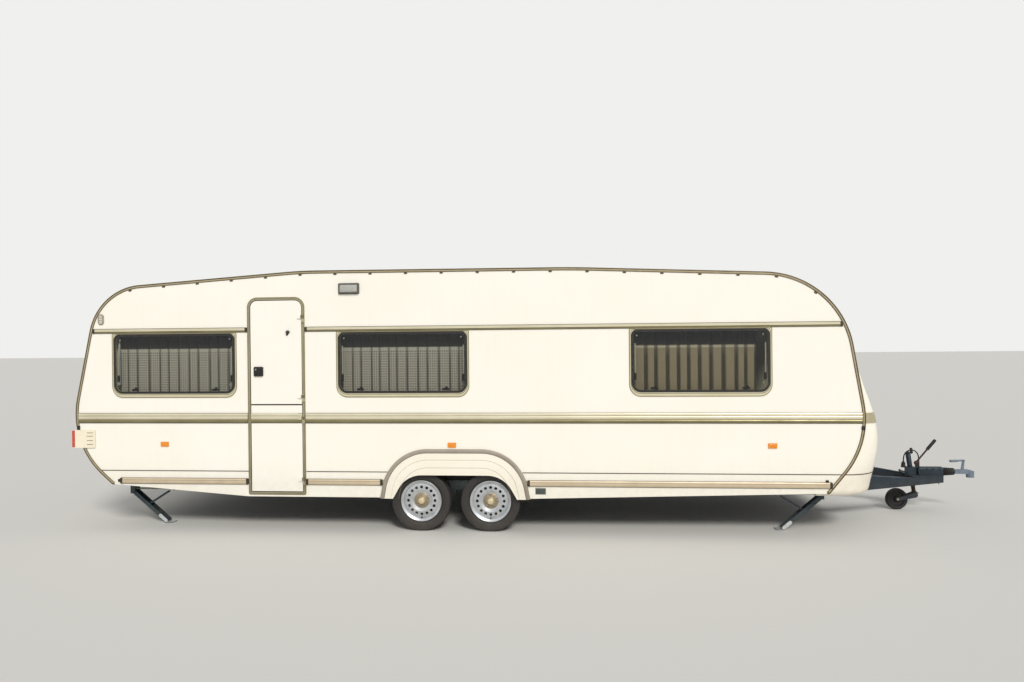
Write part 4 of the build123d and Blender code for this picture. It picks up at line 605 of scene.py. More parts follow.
# section turned about the hub; a groove's depth fades by a smooth step of the distance from its middle, and
# a slot's by that of the distance along the tread to the nearest slot
def tyreShell(x, side):
    shape = tyreShape
    wall = smoothLine(tyreWall, 4)
    wall[:, 1] += shape["ribHeight"] * sum(np.exp(-((wall[:, 0] - middle) / wide) ** 2)
                                           for middle, wide in shape["ribs"])
    across = np.linspace(-shape["treadHalf"], shape["treadHalf"], 49)
    crown = shape["radius"] - shape["crown"] * (across / shape["treadHalf"]) ** 2
    section = np.concatenate([np.stack([wall[:, 0], -wall[:, 1]], -1), np.stack([crown, across], -1),
                              wall[::-1]])
    angle = np.arange(shape["around"]) * 2 * math.pi / shape["around"]
    reach = section[None, :, 1]
    depth = np.zeros((len(angle), len(section)))
    for groove in shape["grooves"]:
        fade = smoothStep(np.abs(reach - groove), shape["grooveHalf"] * 0.6, shape["grooveHalf"] * 1.5)
        depth = np.maximum(depth, shape["grooveDepth"] * (1 - fade))
    pitch = 2 * math.pi / shape["blocks"]
    phase = (angle[:, None] + shape["lean"] * np.abs(reach)) / pitch
    gap = np.abs((phase - np.round(phase)) * pitch) * shape["radius"]
    slot = shape["slotDepth"] * (1 - smoothStep(gap, shape["slotHalf"] * 0.6, shape["slotHalf"] * 1.8))
    depth = np.maximum(depth, slot * (np.abs(reach) > shape["slotFree"]))
    radius = section[None, :, 0] - depth * smoothStep(section[:, 0], *shape["wallEnd"])[None]
    middleY = -side * (shape["outerY"] - shape["width"] / 2)
    points = np.stack([x + radius * np.cos(angle)[:, None],
                       np.broadcast_to(middleY + section[None, :, 1], radius.shape),
                       body["wheelZ"] + radius * np.sin(angle)[:, None]], -1)
    return outward(points.reshape(-1, 3), gridQuads(*radius.shape, True, True))


# Wheel dressing: where the disc and the rim's edge lie, the bolts, the valve and its lean outwards, and the
# profiles (radius, distance out) of what is turned
wheelDress = {"discY": 1.162, "rimY": 1.190, "boltCircle": 0.056, "bolts": 5, "firstBolt": 0.35,
              "boltOut": 0.0035, "boltSize": 0.0085, "valveRadius": 0.163, "valveOut": 0.002,
              "valveLean": 0.18}
hubPlate = [(0.0345, 0.002), (0.0345, 0.0092), (0.040, 0.0085), (0.052, 0.0052), (0.066, 0.0020),
            (0.0715, 0.0012), (0.0735, -0.0005), (0.070, -0.0050), (0.050, -0.002)]
hubCap = [(0.0, 0.0285), (0.010, 0.0283), (0.0155, 0.0272), (0.0175, 0.0262), (0.0270, 0.0254),
          (0.0300, 0.0225), (0.0318, 0.0150), (0.0358, 0.0095), (0.0365, 0.0060), (0.0, 0.0060)]
boltSeat = [(0, 0), (0.0125, 0), (0.0118, 0.0026), (0, 0.0030)]
valveStem = [(0, 0), (0.0052, 0), (0.0050, 0.010), (0.0040, 0.012), (0.0040, 0.022), (0.0044, 0.0222),
             (0.0044, 0.0262), (0.0, 0.0268)]
rimLip = [(0.1895, -0.0030), (0.1900, 0.0006), (0.1925, 0.0014), (0.1948, 0.0006), (0.1950, -0.0030)]
turns = np.arange(wheelDress["bolts"]) * 2 * math.pi / wheelDress["bolts"] + wheelDress["firstBolt"]
boltRing = wheelDress["boltCircle"] * np.stack([np.cos(turns), 0 * turns, np.sin(turns)], -1)
for end, x in body["wheelX"].items():
    for side in (near, far):
        tag = f"{end}_{handName[side]}"
        out = outOf(side)
        disc = np.array([x, -side * wheelDress["discY"], body["wheelZ"]])
        places = disc + boltRing + out * wheelDress["boltOut"]
        foot = disc + (0.0, 0.0, -wheelDress["valveRadius"]) + out * wheelDress["valveOut"]
        edge = disc + out * (wheelDress["rimY"] - wheelDress["discY"])
        made = putPiece(f"treadTyre_{tag}", [tyreShell(x, side)], f"wheel_{tag}", "tyreRubber", 50.0)
        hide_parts(f"tyre_{tag}")
        for name, shells, finish in (
                ("hubPlate", [lathe(hubPlate, disc, out, 60, True)], "goldLacquer"),
                ("hubCap", [lathe(hubCap, disc, out, 48)], "capBrass"),
                ("wheelBolts", [copies(lathe(boltSeat, (0, 0, 0), out, 20), places),
                                bolts(wheelDress["boltSize"], out, places)], "platedBolt"),
                ("valve", [lathe(valveStem, foot, out + (0, 0, wheelDress["valveLean"]), 16)], "sealRubber"),
                ("rimLip", [lathe(rimLip, edge, out, 96, True)], "silverLacquer")):
            putPiece(f"{name}_{tag}", shells, f"wheel_{tag}", finish)
print("wheels dressed")

# Curtains: a line of pleats in plan, carried down the cloth. Soft box pleats are a squared sine,
# deeper at the foot than at the heading; widths vary a little from pleat to pleat, with a fixed seed.
curtainShape = {"middleY": 1.145, "deep": 0.0095, "top": 1.938, "rows": 46, "perPleat": 22,
                "widthSpread": 0.50, "headingDrop": 0.012, "gather": 0.55, "loosen": 0.14, "frill": 0.05,
                "sway": 0.06, "hem": 0.004, "jamb": 0.031, "endStand": 0.102, "endGap": 0.012}
# cloth of each window of a side, its pleats, its gaps at start and end, squareness and gate of the pleats
curtainKinds = [("netVoile", 12, -0.012, -0.012, 5.0, 0.80), ("netVoile", 13, -0.012, -0.012, 5.0, 0.80),
                ("plainCotton", 11, 0.004, 0.095, 4.0, 0.50)]


# pleated line of a length with count pleats: how far along, and out of plane from -1 to 1
def pleatLine(length, count, squareness, gate, seed):
    chance = np.random.default_rng(seed)
    widths = 1 + curtainShape["widthSpread"] * (chance.random(count) - 0.5)
    edges = np.concatenate([[0], np.cumsum(widths)]) / widths.sum()
    along = np.linspace(0, 1, count * curtainShape["perPleat"] + 1)
    wave = np.cos(2 * math.pi * np.interp(along, edges, np.arange(count + 1)))
    plan = -np.tanh(squareness * (wave - gate)) / math.tanh(squareness * (1 + gate))
    return along * length, plan


# the pleats' offset grows below the heading and in the frill above it, with a slow sway and an uneven hem
def hangCurtain(name, start, wideDir, outDir, length, foot, kind, pleats, squareness, gate, seed):
    shape = curtainShape
    along, plan = pleatLine(length, pleats, squareness, gate, seed)
    chance = np.random.default_rng(seed + 100)
    steps = np.arange(len(along))
    rows = np.linspace(0, 1, shape["rows"])
    height = foot + rows * (shape["top"] - foot)
    heading = drape["heading"] - shape["headingDrop"]
    loose = shape["gather"] + 0.45 * smoothStep(heading - height, 0.0, shape["loosen"])
    frill = shape["gather"] + 0.30 * np.clip((height - heading) / shape["frill"], 0, 1)
    frill = np.where(height > heading, frill, loose)
    sway = shape["sway"] * np.interp(steps, np.linspace(0, len(along), 9), chance.random(9) - 0.5)
    hem = shape["hem"] * np.interp(steps, np.linspace(0, len(along), 12), chance.random(12) - 0.5)
    offset = shape["deep"] * (plan[:, None] * frill[None] + 0.6 * sway[:, None] * (1 - rows[None]))
    tall = height[None] + hem[:, None] * (1 - rows[None])
    points = (np.asarray(start) + along[:, None, None] * np.asarray(wideDir)
              + offset[..., None] * np.asarray(outDir) + tall[..., None] * np.array([0.0, 0.0, 1.0]))
    made = putPiece(name, [(points.reshape(-1, 3), gridQuads(*offset.shape))], "body", kind, 180.0, True)
    # UV: length of cloth along the pleats, height along the other way, both in metres
    flatU = np.concatenate([[0], np.cumsum(np.linalg.norm(np.diff(points[:, 0], axis=0), axis=1))])
    flat = np.stack([np.broadcast_to(flatU[:, None], offset.shape),
                     np.broadcast_to((height - drape["foot"])[None], offset.shape)], -1).reshape(-1, 2)
    layer = made.data.uv_layers.new(name="cloth")
    corners = np.empty(len(made.data.loops), np.int32)
    made.data.loops.foreach_get("vertex_index", corners)
    layer.data.foreach_set("uv", flat[corners].astype(np.float32).ravel())
    return made


for side in (near, far):
    for k, (low, high) in enumerate(body["windows"]):
        kind, pleats, startGap, endGap, squareness, gate = curtainKinds[k]
        low, high = low + curtainShape["jamb"] + startGap, high - curtainShape["jamb"] - endGap
        hung = hangCurtain(f"curtain_{sideName[side]}_{k + 1}", (low, -side * curtainShape["middleY"], 0.0),
                           (1.0, 0.0, 0.0), outOf(side), high - low, drape["foot"], kind, pleats, squareness,
                           gate, 7 * k + 3)
        if side == near and k == 0:
            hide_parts("curtains")
print("curtains hung")


# flat bar between two heights, from inner to outer, its outer edges broken by soft
def bar(low, high, inner, outer, soft=0.0008):
    return [(low, inner), (low, outer - soft), (low + soft, outer), (high - soft, outer),
            (high, outer - soft), (high, inner)]


# Trims: for each the height limits of its run and how far it stops short of what ends it, then sections of
# its pieces by name: height and how far out of the wall
# The dark lines of each trim are strips of painted shade in its grooves and along its edges
trims = {
    "waist": {"limits": (1.035, 1.127), "short": 0.002, "pieces": {
        "Moulding": ("paleStrip", [[(1.0670, 0.004), (1.0670, 0.0085), (1.0700, 0.0105), (1.0950, 0.0105),
                                    (1.0980, 0.0085), (1.1015, 0.0085), (1.1035, 0.0105), (1.1210, 0.0105),
                                    (1.1250, 0.0085), (1.1250, 0.004)]]),
        "Bead": ("oliveStrip", [[(1.0350, 0.004), (1.0350, 0.0090), (1.0385, 0.0120), (1.0510, 0.0135),
                                 (1.0610, 0.0120), (1.0645, 0.0090), (1.0645, 0.004)]]),
        "Lines": ("shadeLineAndVinyl", [bar(1.0305, 1.0355, 0.001, 0.0075), bar(1.0640, 1.0675, 0.004, 0.0080),
                                bar(1.0985, 1.1012, 0.006, 0.0092), bar(1.1250, 1.1285, 0.001, 0.0075)])}},
    "upper": {"limits": (1.909, 1.953), "short": 0.002, "pieces": {
        "Moulding": ("paleStrip", [[(1.9240, 0.004), (1.9240, 0.0075), (1.9265, 0.0095), (1.9460, 0.0095),
                                    (1.9490, 0.0070), (1.9490, 0.004)]]),
        "Bead": ("oliveStrip", [[(1.9095, 0.004), (1.9095, 0.0075), (1.9120, 0.0098), (1.9180, 0.0098),
                                 (1.9205, 0.0075), (1.9205, 0.004)]]),
        "Lines": ("shadeLineAndVinyl", [bar(1.9068, 1.9098, 0.001, 0.0065), bar(1.9205, 1.9240, 0.004, 0.0070),
                                bar(1.9490, 1.9535, 0.001, 0.0065)])}},
    "lower": {"limits": (0.444, 0.496), "short": 0.010, "pieces": {
        "Moulding": ("brownStrip", [[(0.4440, 0.006), (0.4440, 0.0110), (0.4470, 0.0135), (0.4620, 0.0150),
                                     (0.4790, 0.0150), (0.4925, 0.0135), (0.4960, 0.0110), (0.4960, 0.006)]]),
        "Lines": ("shadeLineAndVinyl", [bar(0.4405, 0.4445, 0.001, 0.0100), bar(0.4765, 0.4790, 0.014, 0.0156),
                                bar(0.4955, 0.4985, 0.001, 0.0100)])}},
}
# caps on the trims' ends: for each trim the caps' height limits and how far they stand out
trimCaps = {"rows": (("lower", 0.4405, 0.4985, 0.0170), ("upper", 1.9065, 1.9535, 0.0115)), "half": 0.0125,
            "radius": 0.010, "inwards": 0.012}
lowerStart = -4.020     # where the lower trim begins at the rear
splitStrip = bar(1.2068, 1.2160, -0.001, 0.004)
doorEdge = 0.031        # width of the door's frame beside its leaves
archStop = (-1.404, -0.026)
doorLow, doorHigh, doorFoot, doorTop = body["door"]
bodyLine = roundedPath(bodyCorners, 24)
railWidth = 0.025


# section along x on one side of the body: its points are height and how far they stand out
def strip(side, fromX, toX, section):
    section = np.asarray(section, float)
    return stack([np.stack([np.full(len(section), x), -side * (halfWidth + section[:, 1]), section[:, 0]], -1)
                  for x in (fromX, toX)])


# x of the body's front or rear end at a height, or of a line inset from it
def bodyEnd(height, atFront, inset=0.0):
    line = insetPath(bodyLine, inset) if inset else bodyLine
    half = line[line[:, 0] > 0] if atFront else line[line[:, 0] < -2.8]
    half = half[half[:, 1] < 2.3]
    order = np.argsort(half[:, 1])
    return float(np.interp(height, half[order, 1], half[order, 0]))


# runs of a trim between the rails at both ends, with gaps at its stops
def trimSpans(limits, stops):
    middle = sum(limits) / 2
    marks = [bodyEnd(middle, False, railWidth), *(x for stop in stops for x in stop),
             bodyEnd(middle, True, railWidth)]
    return list(zip(marks[::2], marks[1::2]))


for side in (near, far):
    tag = sideName[side]
    doorStop = [(doorLow - 0.001, doorHigh + 0.001)] if side == near else []
    spans = {level: trimSpans(trim["limits"], doorStop + [archStop] * (level == "lower"))
             for level, trim in trims.items()}
    spans["lower"][0] = (lowerStart, spans["lower"][0][1])
    for level, trim in trims.items():
        short = trim["short"]
        for part, (finish, sections) in trim["pieces"].items():
            runs = [strip(side, a + short, b - short, section)
                    for a, b in spans[level] for section in sections]
            putPiece(f"{level}{part}_{tag}", runs, "body", finish)
    inwards = trimCaps["inwards"]
    ends = [plate((x, -side * halfWidth, (low + high) / 2), trimCaps["half"], (high - low) / 2,
                  trimCaps["radius"], (0.001, stand - 0.003, 0.003, stand), outOf(side))
            for level, low, high, stand in trimCaps["rows"] for a, b in spans[level]
            for x in (a + inwards, b - inwards)]
    putPiece(f"trimEnds_{tag}", ends, "body", "shadeLineAndVinyl")
for part, (finish, sections) in trims["waist"]["pieces"].items():
    putPiece(f"doorWaist{part}", [strip(near, doorLow + doorEdge, doorHigh - doorEdge, section)
                                  for section in sections], "door_leaf_lower", finish)
putPiece("doorSplitStrip", [strip(near, doorLow + doorEdge, doorHigh - doorEdge, splitStrip)],
         "door_leaf_upper", "oliveStrip")
print("mouldings laid")

# Windows: the surround's own corners are nearly square at the top, the pane's are rounder. Each window
# stands on a place (origin and the directions wide, up and out), so ends and sides share one shape.
windowShape = {"lowRadius": 0.110, "highRadius": 0.016, "side": 0.026, "foot": 0.045, "top": 0.018,
               "paneLow": 0.080, "paneHigh": 0.045, "seat": 0.008, "lap": 0.0143, "paneThick": 0.005,
               "bead": 0.0035, "gasket": 0.0065, "gasketSunk": 0.0015, "border": 0.013, "borderIn": 0.004,
               "borderThick": 0.0006, "soft": 0.001, "sunk": 0.0002, "shadow": 0.0022,
               "shadowLine": (0.017, 0.030, 0.011, 0.085, 0.028)}
# Fittings on the inner side of a pane: half width, half height, corner radius and levels of the plates;
# the catches' place as a share of the pane's width; heights above its foot; the stay's most half height
# and what it leaves free; the profile of a stud
paneFittings = {"inner": -0.013, "catchShare": 0.335, "catchZ": 0.030, "latchZ": 0.044, "latchX": 0.008,
                "bracketZ": 0.139, "stayZ": 0.177, "stayMost": 0.135, "stayFree": 0.09,
                "catch": (0.034, 0.011, 0.008, (-0.006, 0.004, 0.003, 0.007)),
                "latch": (0.012, 0.010, 0.006, (-0.004, 0.006, 0.002, 0.009)),
                "bracket": (0.011, 0.032, 0.008, (-0.006, 0.004, 0.003, 0.007)),
                "stay": (0.0060, 0.003, (-0.003, 0.002, 0.001, 0.003)),
                "stud": [(0, -0.004), (0.008, -0.004), (0.008, 0.001), (0.006, 0.003), (0, 0.0035)]}
# half width, foot and top of the end windows
endWindows = {"front": (0.880, 1.512, 1.880), "rear": (0.800, 1.290, 1.880)}
windowFinish = {"windowSurrounds": "windowStrip", "windowPanes": "smokedAcrylic", "windowBeads": "oliveStrip",
                "windowShadowLines": "shadeLineAndVinyl", "windowGaskets": "sealRubber", "paneBorders": "sealRubber",
                "windowCatches": "blackAbs", "windowStays": "whiteAbs", "windowStuds": "whiteAbs"}


def sideSpot(side, k):
    return {"origin": (0.0, -side * halfWidth, 0.0), "wide": (1.0, 0.0, 0.0), "up": (0.0, 0.0, 1.0),
            "out": outOf(side), "span": (*body["windows"][k], *body["windowZ"]), "proud": 0.006,
            "depth": 0.028}


# an end window lies on the chord of the body's end between its lower and its upper edge
def endSpot(end):
    half, foot, top = endWindows[end]
    atFront = end == "front"
    low, high = (np.array([bodyEnd(z, atFront), 0.0, z]) for z in (foot, top))
    rise = np.linalg.norm(high - low)
    up, wide = (high - low) / rise, np.array([0.0, 1.0 if atFront else -1.0, 0.0])
    return {"origin": (low + high) / 2, "wide": wide, "up": up, "out": np.cross(wide, up),
            "span": (-half, half, -rise / 2, rise / 2), "proud": 0.010, "depth": 0.030}


# a window's edge moved in by sideIn, footIn and topIn, standing out by height
def windowLine(spot, sideIn, footIn, topIn, lowRadius, highRadius, height):
    low, high, foot, top = spot["span"]
    foot, top = foot + footIn, top - topIn
    ring = roundedRing((high - low) / 2 - sideIn, (top - foot) / 2, lowRadius, highRadius, 9)
    ring += ((low + high) / 2, (foot + top) / 2)
    wide, up, out = (np.asarray(spot[k], float) for k in ("wide", "up", "out"))
    return np.asarray(spot["origin"]) + ring[:, :1] * wide + ring[:, 1:] * up + out * height


# the surround's edge and the pane's edge moved in by amount; a radius shrinks with it down to 2 mm
def surroundLine(spot, amount, height):
    low, high = windowShape["lowRadius"] - amount, max(windowShape["highRadius"] - amount, 0.002)
    return windowLine(spot, amount, amount, amount, low, high, height)


def paneLine(spot, amount, height):
    shape = windowShape
    return windowLine(spot, shape["side"] + amount, shape["foot"] + amount, shape["top"] + amount,
                      max(shape["paneLow"] - amount, 0.002), max(shape["paneHigh"] - amount, 0.002), height)


# surround, pane, bead, shadow line, gasket and painted border of a window, each a sweep round it
def dressWindow(spot, sets):
    shape, proud, depth, out = windowShape, spot["proud"], spot["depth"], np.asarray(spot["out"], float)
    soft, lap, sunk, face = shape["soft"], shape["lap"], shape["sunk"], proud + shape["paneThick"]
    sets["windowSurrounds"].append(ringShell([
        surroundLine(spot, 0, sunk), surroundLine(spot, 0, proud - soft), surroundLine(spot, soft, proud),
        paneLine(spot, shape["seat"], proud), paneLine(spot, shape["seat"], -depth),
        surroundLine(spot, lap, -depth), surroundLine(spot, lap, sunk)]))
    sets["windowPanes"].append(stack([paneLine(spot, 0, proud), paneLine(spot, 0, face - soft),
                                      paneLine(spot, soft, face)]))
    bead, wide, thick = shape["bead"], shape["border"], shape["borderThick"]
    border = [(-wide / 2, 0.0), (wide / 2, 0.0), (wide / 2, thick), (-wide / 2, thick)]
    for name, line, profile in (
            ("windowBeads", surroundLine(spot, bead, proud - sunk), halfRound(bead, 7, 0.8)),
            ("windowShadowLines", windowLine(spot, *shape["shadowLine"], proud - sunk),
             halfRound(shape["shadow"], 5, 0.8)),
            ("windowGaskets", paneLine(spot, 0, proud - shape["gasketSunk"]),
             halfRound(shape["gasket"], 9, 1.05)),
            ("paneBorders", paneLine(spot, wide / 2 + shape["borderIn"], face + sunk), border)):
        sets[name].append(sweep(line, profile, out, True))


# catches, stays and studs on the inner side of a pane
def dressPane(spot, sets):
    shape, fit = windowShape, paneFittings
    low, high, foot, top = spot["span"]
    wide, up, out = (np.asarray(spot[k], float) for k in ("wide", "up", "out"))
    low, high, foot, top = low + shape["side"], high - shape["side"], foot + shape["foot"], top - shape["top"]

    def at(x, z):
        return np.asarray(spot["origin"]) + wide * x + up * z + out * fit["inner"]

    def pad(name, x, z, halfWide, halfHigh, radius, levels):
        sets[name].append(plate(at(x, z), halfWide, halfHigh, radius, levels, out, wide, up))

    for share in (-fit["catchShare"], fit["catchShare"]):
        x = (low + high) / 2 + share * (high - low)
        pad("windowCatches", x, foot + fit["catchZ"], *fit["catch"])
        pad("windowCatches", x + fit["latchX"], foot + fit["latchZ"], *fit["latch"])
    stayHalf = min(fit["stayMost"], (top - foot) / 2 - fit["stayFree"])
    halfWide, radius, levels = fit["stay"]
    for x, nudge in ((low + 0.030, 0.0), (high - 0.034, 0.004)):
        pad("windowCatches", x, foot + fit["bracketZ"], *fit["bracket"])
        pad("windowStays", x + nudge, foot + fit["stayZ"] + stayHalf, halfWide, stayHalf, radius, levels)
    for x, z in ((high - 0.052, top - 0.046), (high - 0.050, foot + 0.079), (low + 0.045, top - 0.05)):
        sets["windowStuds"].append(lathe(fit["stud"], at(x, z), out, 14))


spots = [sideSpot(side, k) for side in (near, far) for k in range(3)] + [endSpot("front"), endSpot("rear")]
windowSets = {name: [] for name in windowFinish}
for spot in spots:
    dressWindow(spot, windowSets)
    dressPane(spot, windowSets)
windowPieces = {name: putPiece(name, shells, "body", windowFinish[name])
                for name, shells in windowSets.items()}
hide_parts("window_surrounds")
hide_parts("window_panes")
print("windows dressed:", len(spots))

# Front wall's head: the shell's band from the front wall's upper edge to the roof, right across above the
# window and down both sides of it
headBand = {"wallEnd": 2.900, "top": 1.956, "halfWide": 1.2168, "depth": 0.030, "lap": 0.006, "sunk": 0.0004,
            "sideLap": 0.012, "windowLap": 0.010}
endHalf, endTop = endWindows["front"][::2]
innerY = endHalf - headBand["sideLap"]
rising = np.linspace(1.70, headBand["top"], 200)
wallTop = float(np.interp(-headBand["wallEnd"], [-bodyEnd(z, True) for z in rising], rising))
headShells = []
for lowY, highY, foot in ((-headBand["halfWide"], -innerY, wallTop - headBand["lap"]),
                          (-innerY, innerY, endTop - headBand["windowLap"]),
                          (innerY, headBand["halfWide"], wallTop - headBand["lap"])):
    outer = np.array([(bodyEnd(z, True) - headBand["sunk"], z)
                      for z in np.linspace(foot, headBand["top"], 12)])
    profile = np.concatenate([outer, outer[::-1] - (headBand["depth"], 0.0)])
    headShells.append(stack([np.stack([profile[:, 0], np.full(len(profile), y), profile[:, 1]], -1)
                             for y in (lowY, highY)]))
putPiece("frontWallHead", headShells, "body", "paintedSheet")
print("front wall head laid from", round(wallTop, 3))

# Curtains at the end windows, hung like those at the sides, endStand inside the shell's outer face
for end, kind, pleats in (("front", "plainCotton", 17), ("rear", "netVoile", 17)):
    half, foot, top = endWindows[end]
    outwards = 1.0 if end == "front" else -1.0
    half -= curtainShape["endGap"]
    x = bodyEnd(1.957, end == "front") - outwards * curtainShape["endStand"]
    hangCurtain(f"curtain_{end}", (x, -half, 0.0), (0.0, 1.0, 0.0), (outwards, 0.0, 0.0), 2 * half,
                foot - 0.030, kind, pleats, 4.0, 0.6, 40 + pleats + int(end == "front"))
print("end curtains hung")

# Door: rings round its frame (inset, lower and upper corner radius, how far out, bead radius and steps),
# lever, lock and retainer on the upper leaf
doorRings = [(0.004, 0.015, 0.096, 0.0058, 0.0038, 7), (0.0145, 0.008, 0.085, 0.0058, 0.0020, 5),
             (0.0262, 0.004, 0.074, 0.0045, 0.0026, 5)]
leverPlate = [(0, -0.001), (0.016, -0.001), (0.016, 0.003), (0.013, 0.005), (0, 0.005)]
lockFace = [(0, 0.002), (0.0065, 0.002), (0.0065, 0.0062), (0.005, 0.007), (0, 0.0072)]
retainer = [(0, -0.006), (0.020, -0.006), (0.018, 0.006), (0.009, 0.010), (0.009, 0.024), (0.014, 0.026),
            (0.014, 0.034), (0.010, 0.037), (0, 0.037)]
retainerCap = [(0, 0.036), (0.006, 0.036), (0.005, 0.039), (0, 0.0395)]
out = outOf(near)
rings = []
for inset, lowRadius, highRadius, stand, radius, steps in doorRings:
    ring = roundedRing((doorHigh - doorLow) / 2 - inset, (doorTop - doorFoot) / 2 - inset, lowRadius,
                       highRadius, 9) + ((doorLow + doorHigh) / 2, (doorFoot + doorTop) / 2)
    rings.append(sweep(onSide(near, ring, stand), halfRound(radius, steps, 0.9), out, True))
putPiece("doorFrameBead", rings[:1], "body", "oliveStrip")
putPiece("doorSeals", rings[1:], "body", "shadeLineAndVinyl")
handleBox = np.array(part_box("door_handle"))
handleX, handleFace, handleZ = handleBox.mean(0)[0], handleBox[0][1], handleBox.mean(0)[2]
lockPlace = (handleX - 0.022, handleFace, handleZ + 0.018)
retainerPlace, holderPlace = (-2.316, -halfWidth, 1.904), (-2.324, -halfWidth, 1.888)
putPiece("doorLever", [plate((handleX + 0.004, handleFace, handleZ - 0.004), 0.030, 0.012, 0.008,
                             (-0.002, 0.004, 0.003, 0.008), out), lathe(leverPlate, lockPlace, out, 22)],
         "door_leaf_upper", "blackAbs")
putPiece("doorLock", [lathe(lockFace, lockPlace, out, 18)], "door_leaf_upper", "platedBolt")
putPiece("doorRetainer", [lathe(retainer, retainerPlace, out, 24),
                          plate(holderPlace, 0.010, 0.016, 0.004, (-0.004, 0.005, 0.002, 0.007), out)],
         "door_leaf_upper", "blackAbs")
putPiece("doorRetainerCap", [lathe(retainerCap, retainerPlace, out, 16)], "door_leaf_upper", "greyAbs")
print("door dressed")

# Rail round the body: infill in its middle, a bead (inset and radius) on each of its edges, open below the
# floor from gapFrom to gapTo; clips below it along the roof, stops at its ends, a vent in the rear corner
railShape = {"gapFrom": -4.085, "gapTo": 2.690, "gapTop": 0.520, "stand": 0.0045, "infill": 0.0125,
             "beads": ((0.0030, 0.0028), (0.0215, 0.0024)), "clipX": (-3.90, 2.65, 0.342), "clipInset": 0.033,
             "vent": (-4.203, 2.046), "ventPitch": 0.017}
infillSection = [(-0.0062, 0), (0.0062, 0), (0.0062, 0.0012), (0.0035, 0.0026), (-0.0035, 0.0026),
                 (-0.0062, 0.0012)]
# x, z, half width and half height of the stops
railStops = [(bodyEnd(1.02, True, railWidth) + 0.010, 0.990, 0.016, 0.018),
             (bodyEnd(1.0, False, railWidth) - 0.008, 0.985, 0.013, 0.020),
             (-4.030, 0.470, 0.014, 0.014), (2.690, 0.505, 0.013, 0.013)]


# the body's outline inset, without its open part, starting at that part's end
def railRun(inset):
    line = insetPath(bodyLine, inset)
    line = evenLine(np.concatenate([line, line[:1]]), 900)[:-1]
    gap = ((line[:, 0] > railShape["gapFrom"]) & (line[:, 0] < railShape["gapTo"])
           & (line[:, 1] < railShape["gapTop"]))
    first = int(np.argmax(~gap & np.roll(gap, 1)))
    return np.roll(line, -first, 0)[~np.roll(gap, -first)]


clipX = np.arange(*railShape["clipX"])
inner = railRun(railShape["clipInset"])
top = inner[inner[:, 1] > 1.9]
top = top[np.argsort(top[:, 0])]
clipZ, before, after = (np.interp(clipX + step, top[:, 0], top[:, 1]) for step in (0, -0.01, 0.01))
slopes = (after - before) / 0.02
ventX, ventZ = railShape["vent"]
for side in (near, far):
    tag, out, y = sideName[side], outOf(side), -side * halfWidth
    infill = sweep(onSide(side, railRun(railShape["infill"]), railShape["stand"]), infillSection, out)
    putPiece(f"railInfill_{tag}", [infill], "body", "railInfill")
    beads = [sweep(onSide(side, railRun(inset), railShape["stand"]), halfRound(radius, 5, 1.0), out)
             for inset, radius in railShape["beads"]]
    putPiece(f"railBeads_{tag}", beads, "body", "bronzeRail")
    clips = [plate((x, y, z), 0.016, 0.007, 0.0065, (-0.001, 0.004, 0.002, 0.006), out,
                   np.array([1.0, 0.0, slope]) / math.hypot(1, slope),
                   np.array([-slope, 0.0, 1.0]) / math.hypot(1, slope))
             for x, z, slope in zip(clipX, clipZ, slopes)]
    putPiece(f"railClips_{tag}", clips, "body", "bronzeRail")
    stops = [plate((x, y - side * 0.004, z), halfWide, halfHigh, 0.006, (-0.004, 0.006, 0.003, 0.009), out)
             for x, z, halfWide, halfHigh in railStops]
    putPiece(f"railStops_{tag}", stops, "body", "blackAbs")
    oval = plate((ventX, y, ventZ), 0.030, 0.052, 0.026, (-0.001, 0.009, 0.004, 0.012), out)
    putPiece(f"ventCover_{tag}", [oval], "body", "ventGrey")
    slots = [plate((ventX, y - side * 0.012, ventZ + k * railShape["ventPitch"]), 0.016, 0.0035, 0.003,
                   (-0.001, 0.0012, 0.001, 0.0018), out) for k in range(-2, 3)]
    putPiece(f"ventSlots_{tag}", slots, "body", "creamAbs")
print("rail dressed")

# Wheel arches: shaded bead on the trim and dark lines in the panel's steps: inset, stand, radius
archCorners = [(-1.489, 0.0, 0.0005), (-1.342, 0.787, 0.447), (-0.088, 0.787, 0.447), (0.059, 0.0, 0.0005)]
archShape = {"foot": 0.3185, "legTop": 0.36, "middleX": -0.715, "points": 160}
archLines = [(0.1045, 0.0082, 0.0024), (0.1775, 0.0122, 0.0024), (0.0385, 0.0082, 0.0018)]


# the arch's outline inset, its legs going straight down to the foot with the lean of its corners
def archRun(inset):
    line = insetPath(roundedPath(archCorners, 30), inset)
    line = line[line[:, 1] > archShape["legTop"]]
    foot, lean = archShape["foot"], (archCorners[1][0] - archCorners[0][0]) / archCorners[1][1]
    legs = [(x - math.copysign(lean, archShape["middleX"] - x) * (z - foot), foot)
            for x, z in (line[0], line[-1])]
    return evenLine(np.concatenate([legs[:1], line, legs[1:]]), archShape["points"])


for side in (near, far):
    bead = sweep(onSide(side, archRun(0.0185), 0.0098), halfRound(0.0178, 11, 0.42), outOf(side))
    putPiece(f"archBead_{sideName[side]}", [bead], "body", "archStrip")
    lines = [sweep(onSide(side, archRun(inset), stand), halfRound(radius, 5, 0.8), outOf(side))
             for inset, stand, radius in archLines]
    putPiece(f"archLines_{sideName[side]}", lines, "body", "shadowLine")
print("arches dressed")

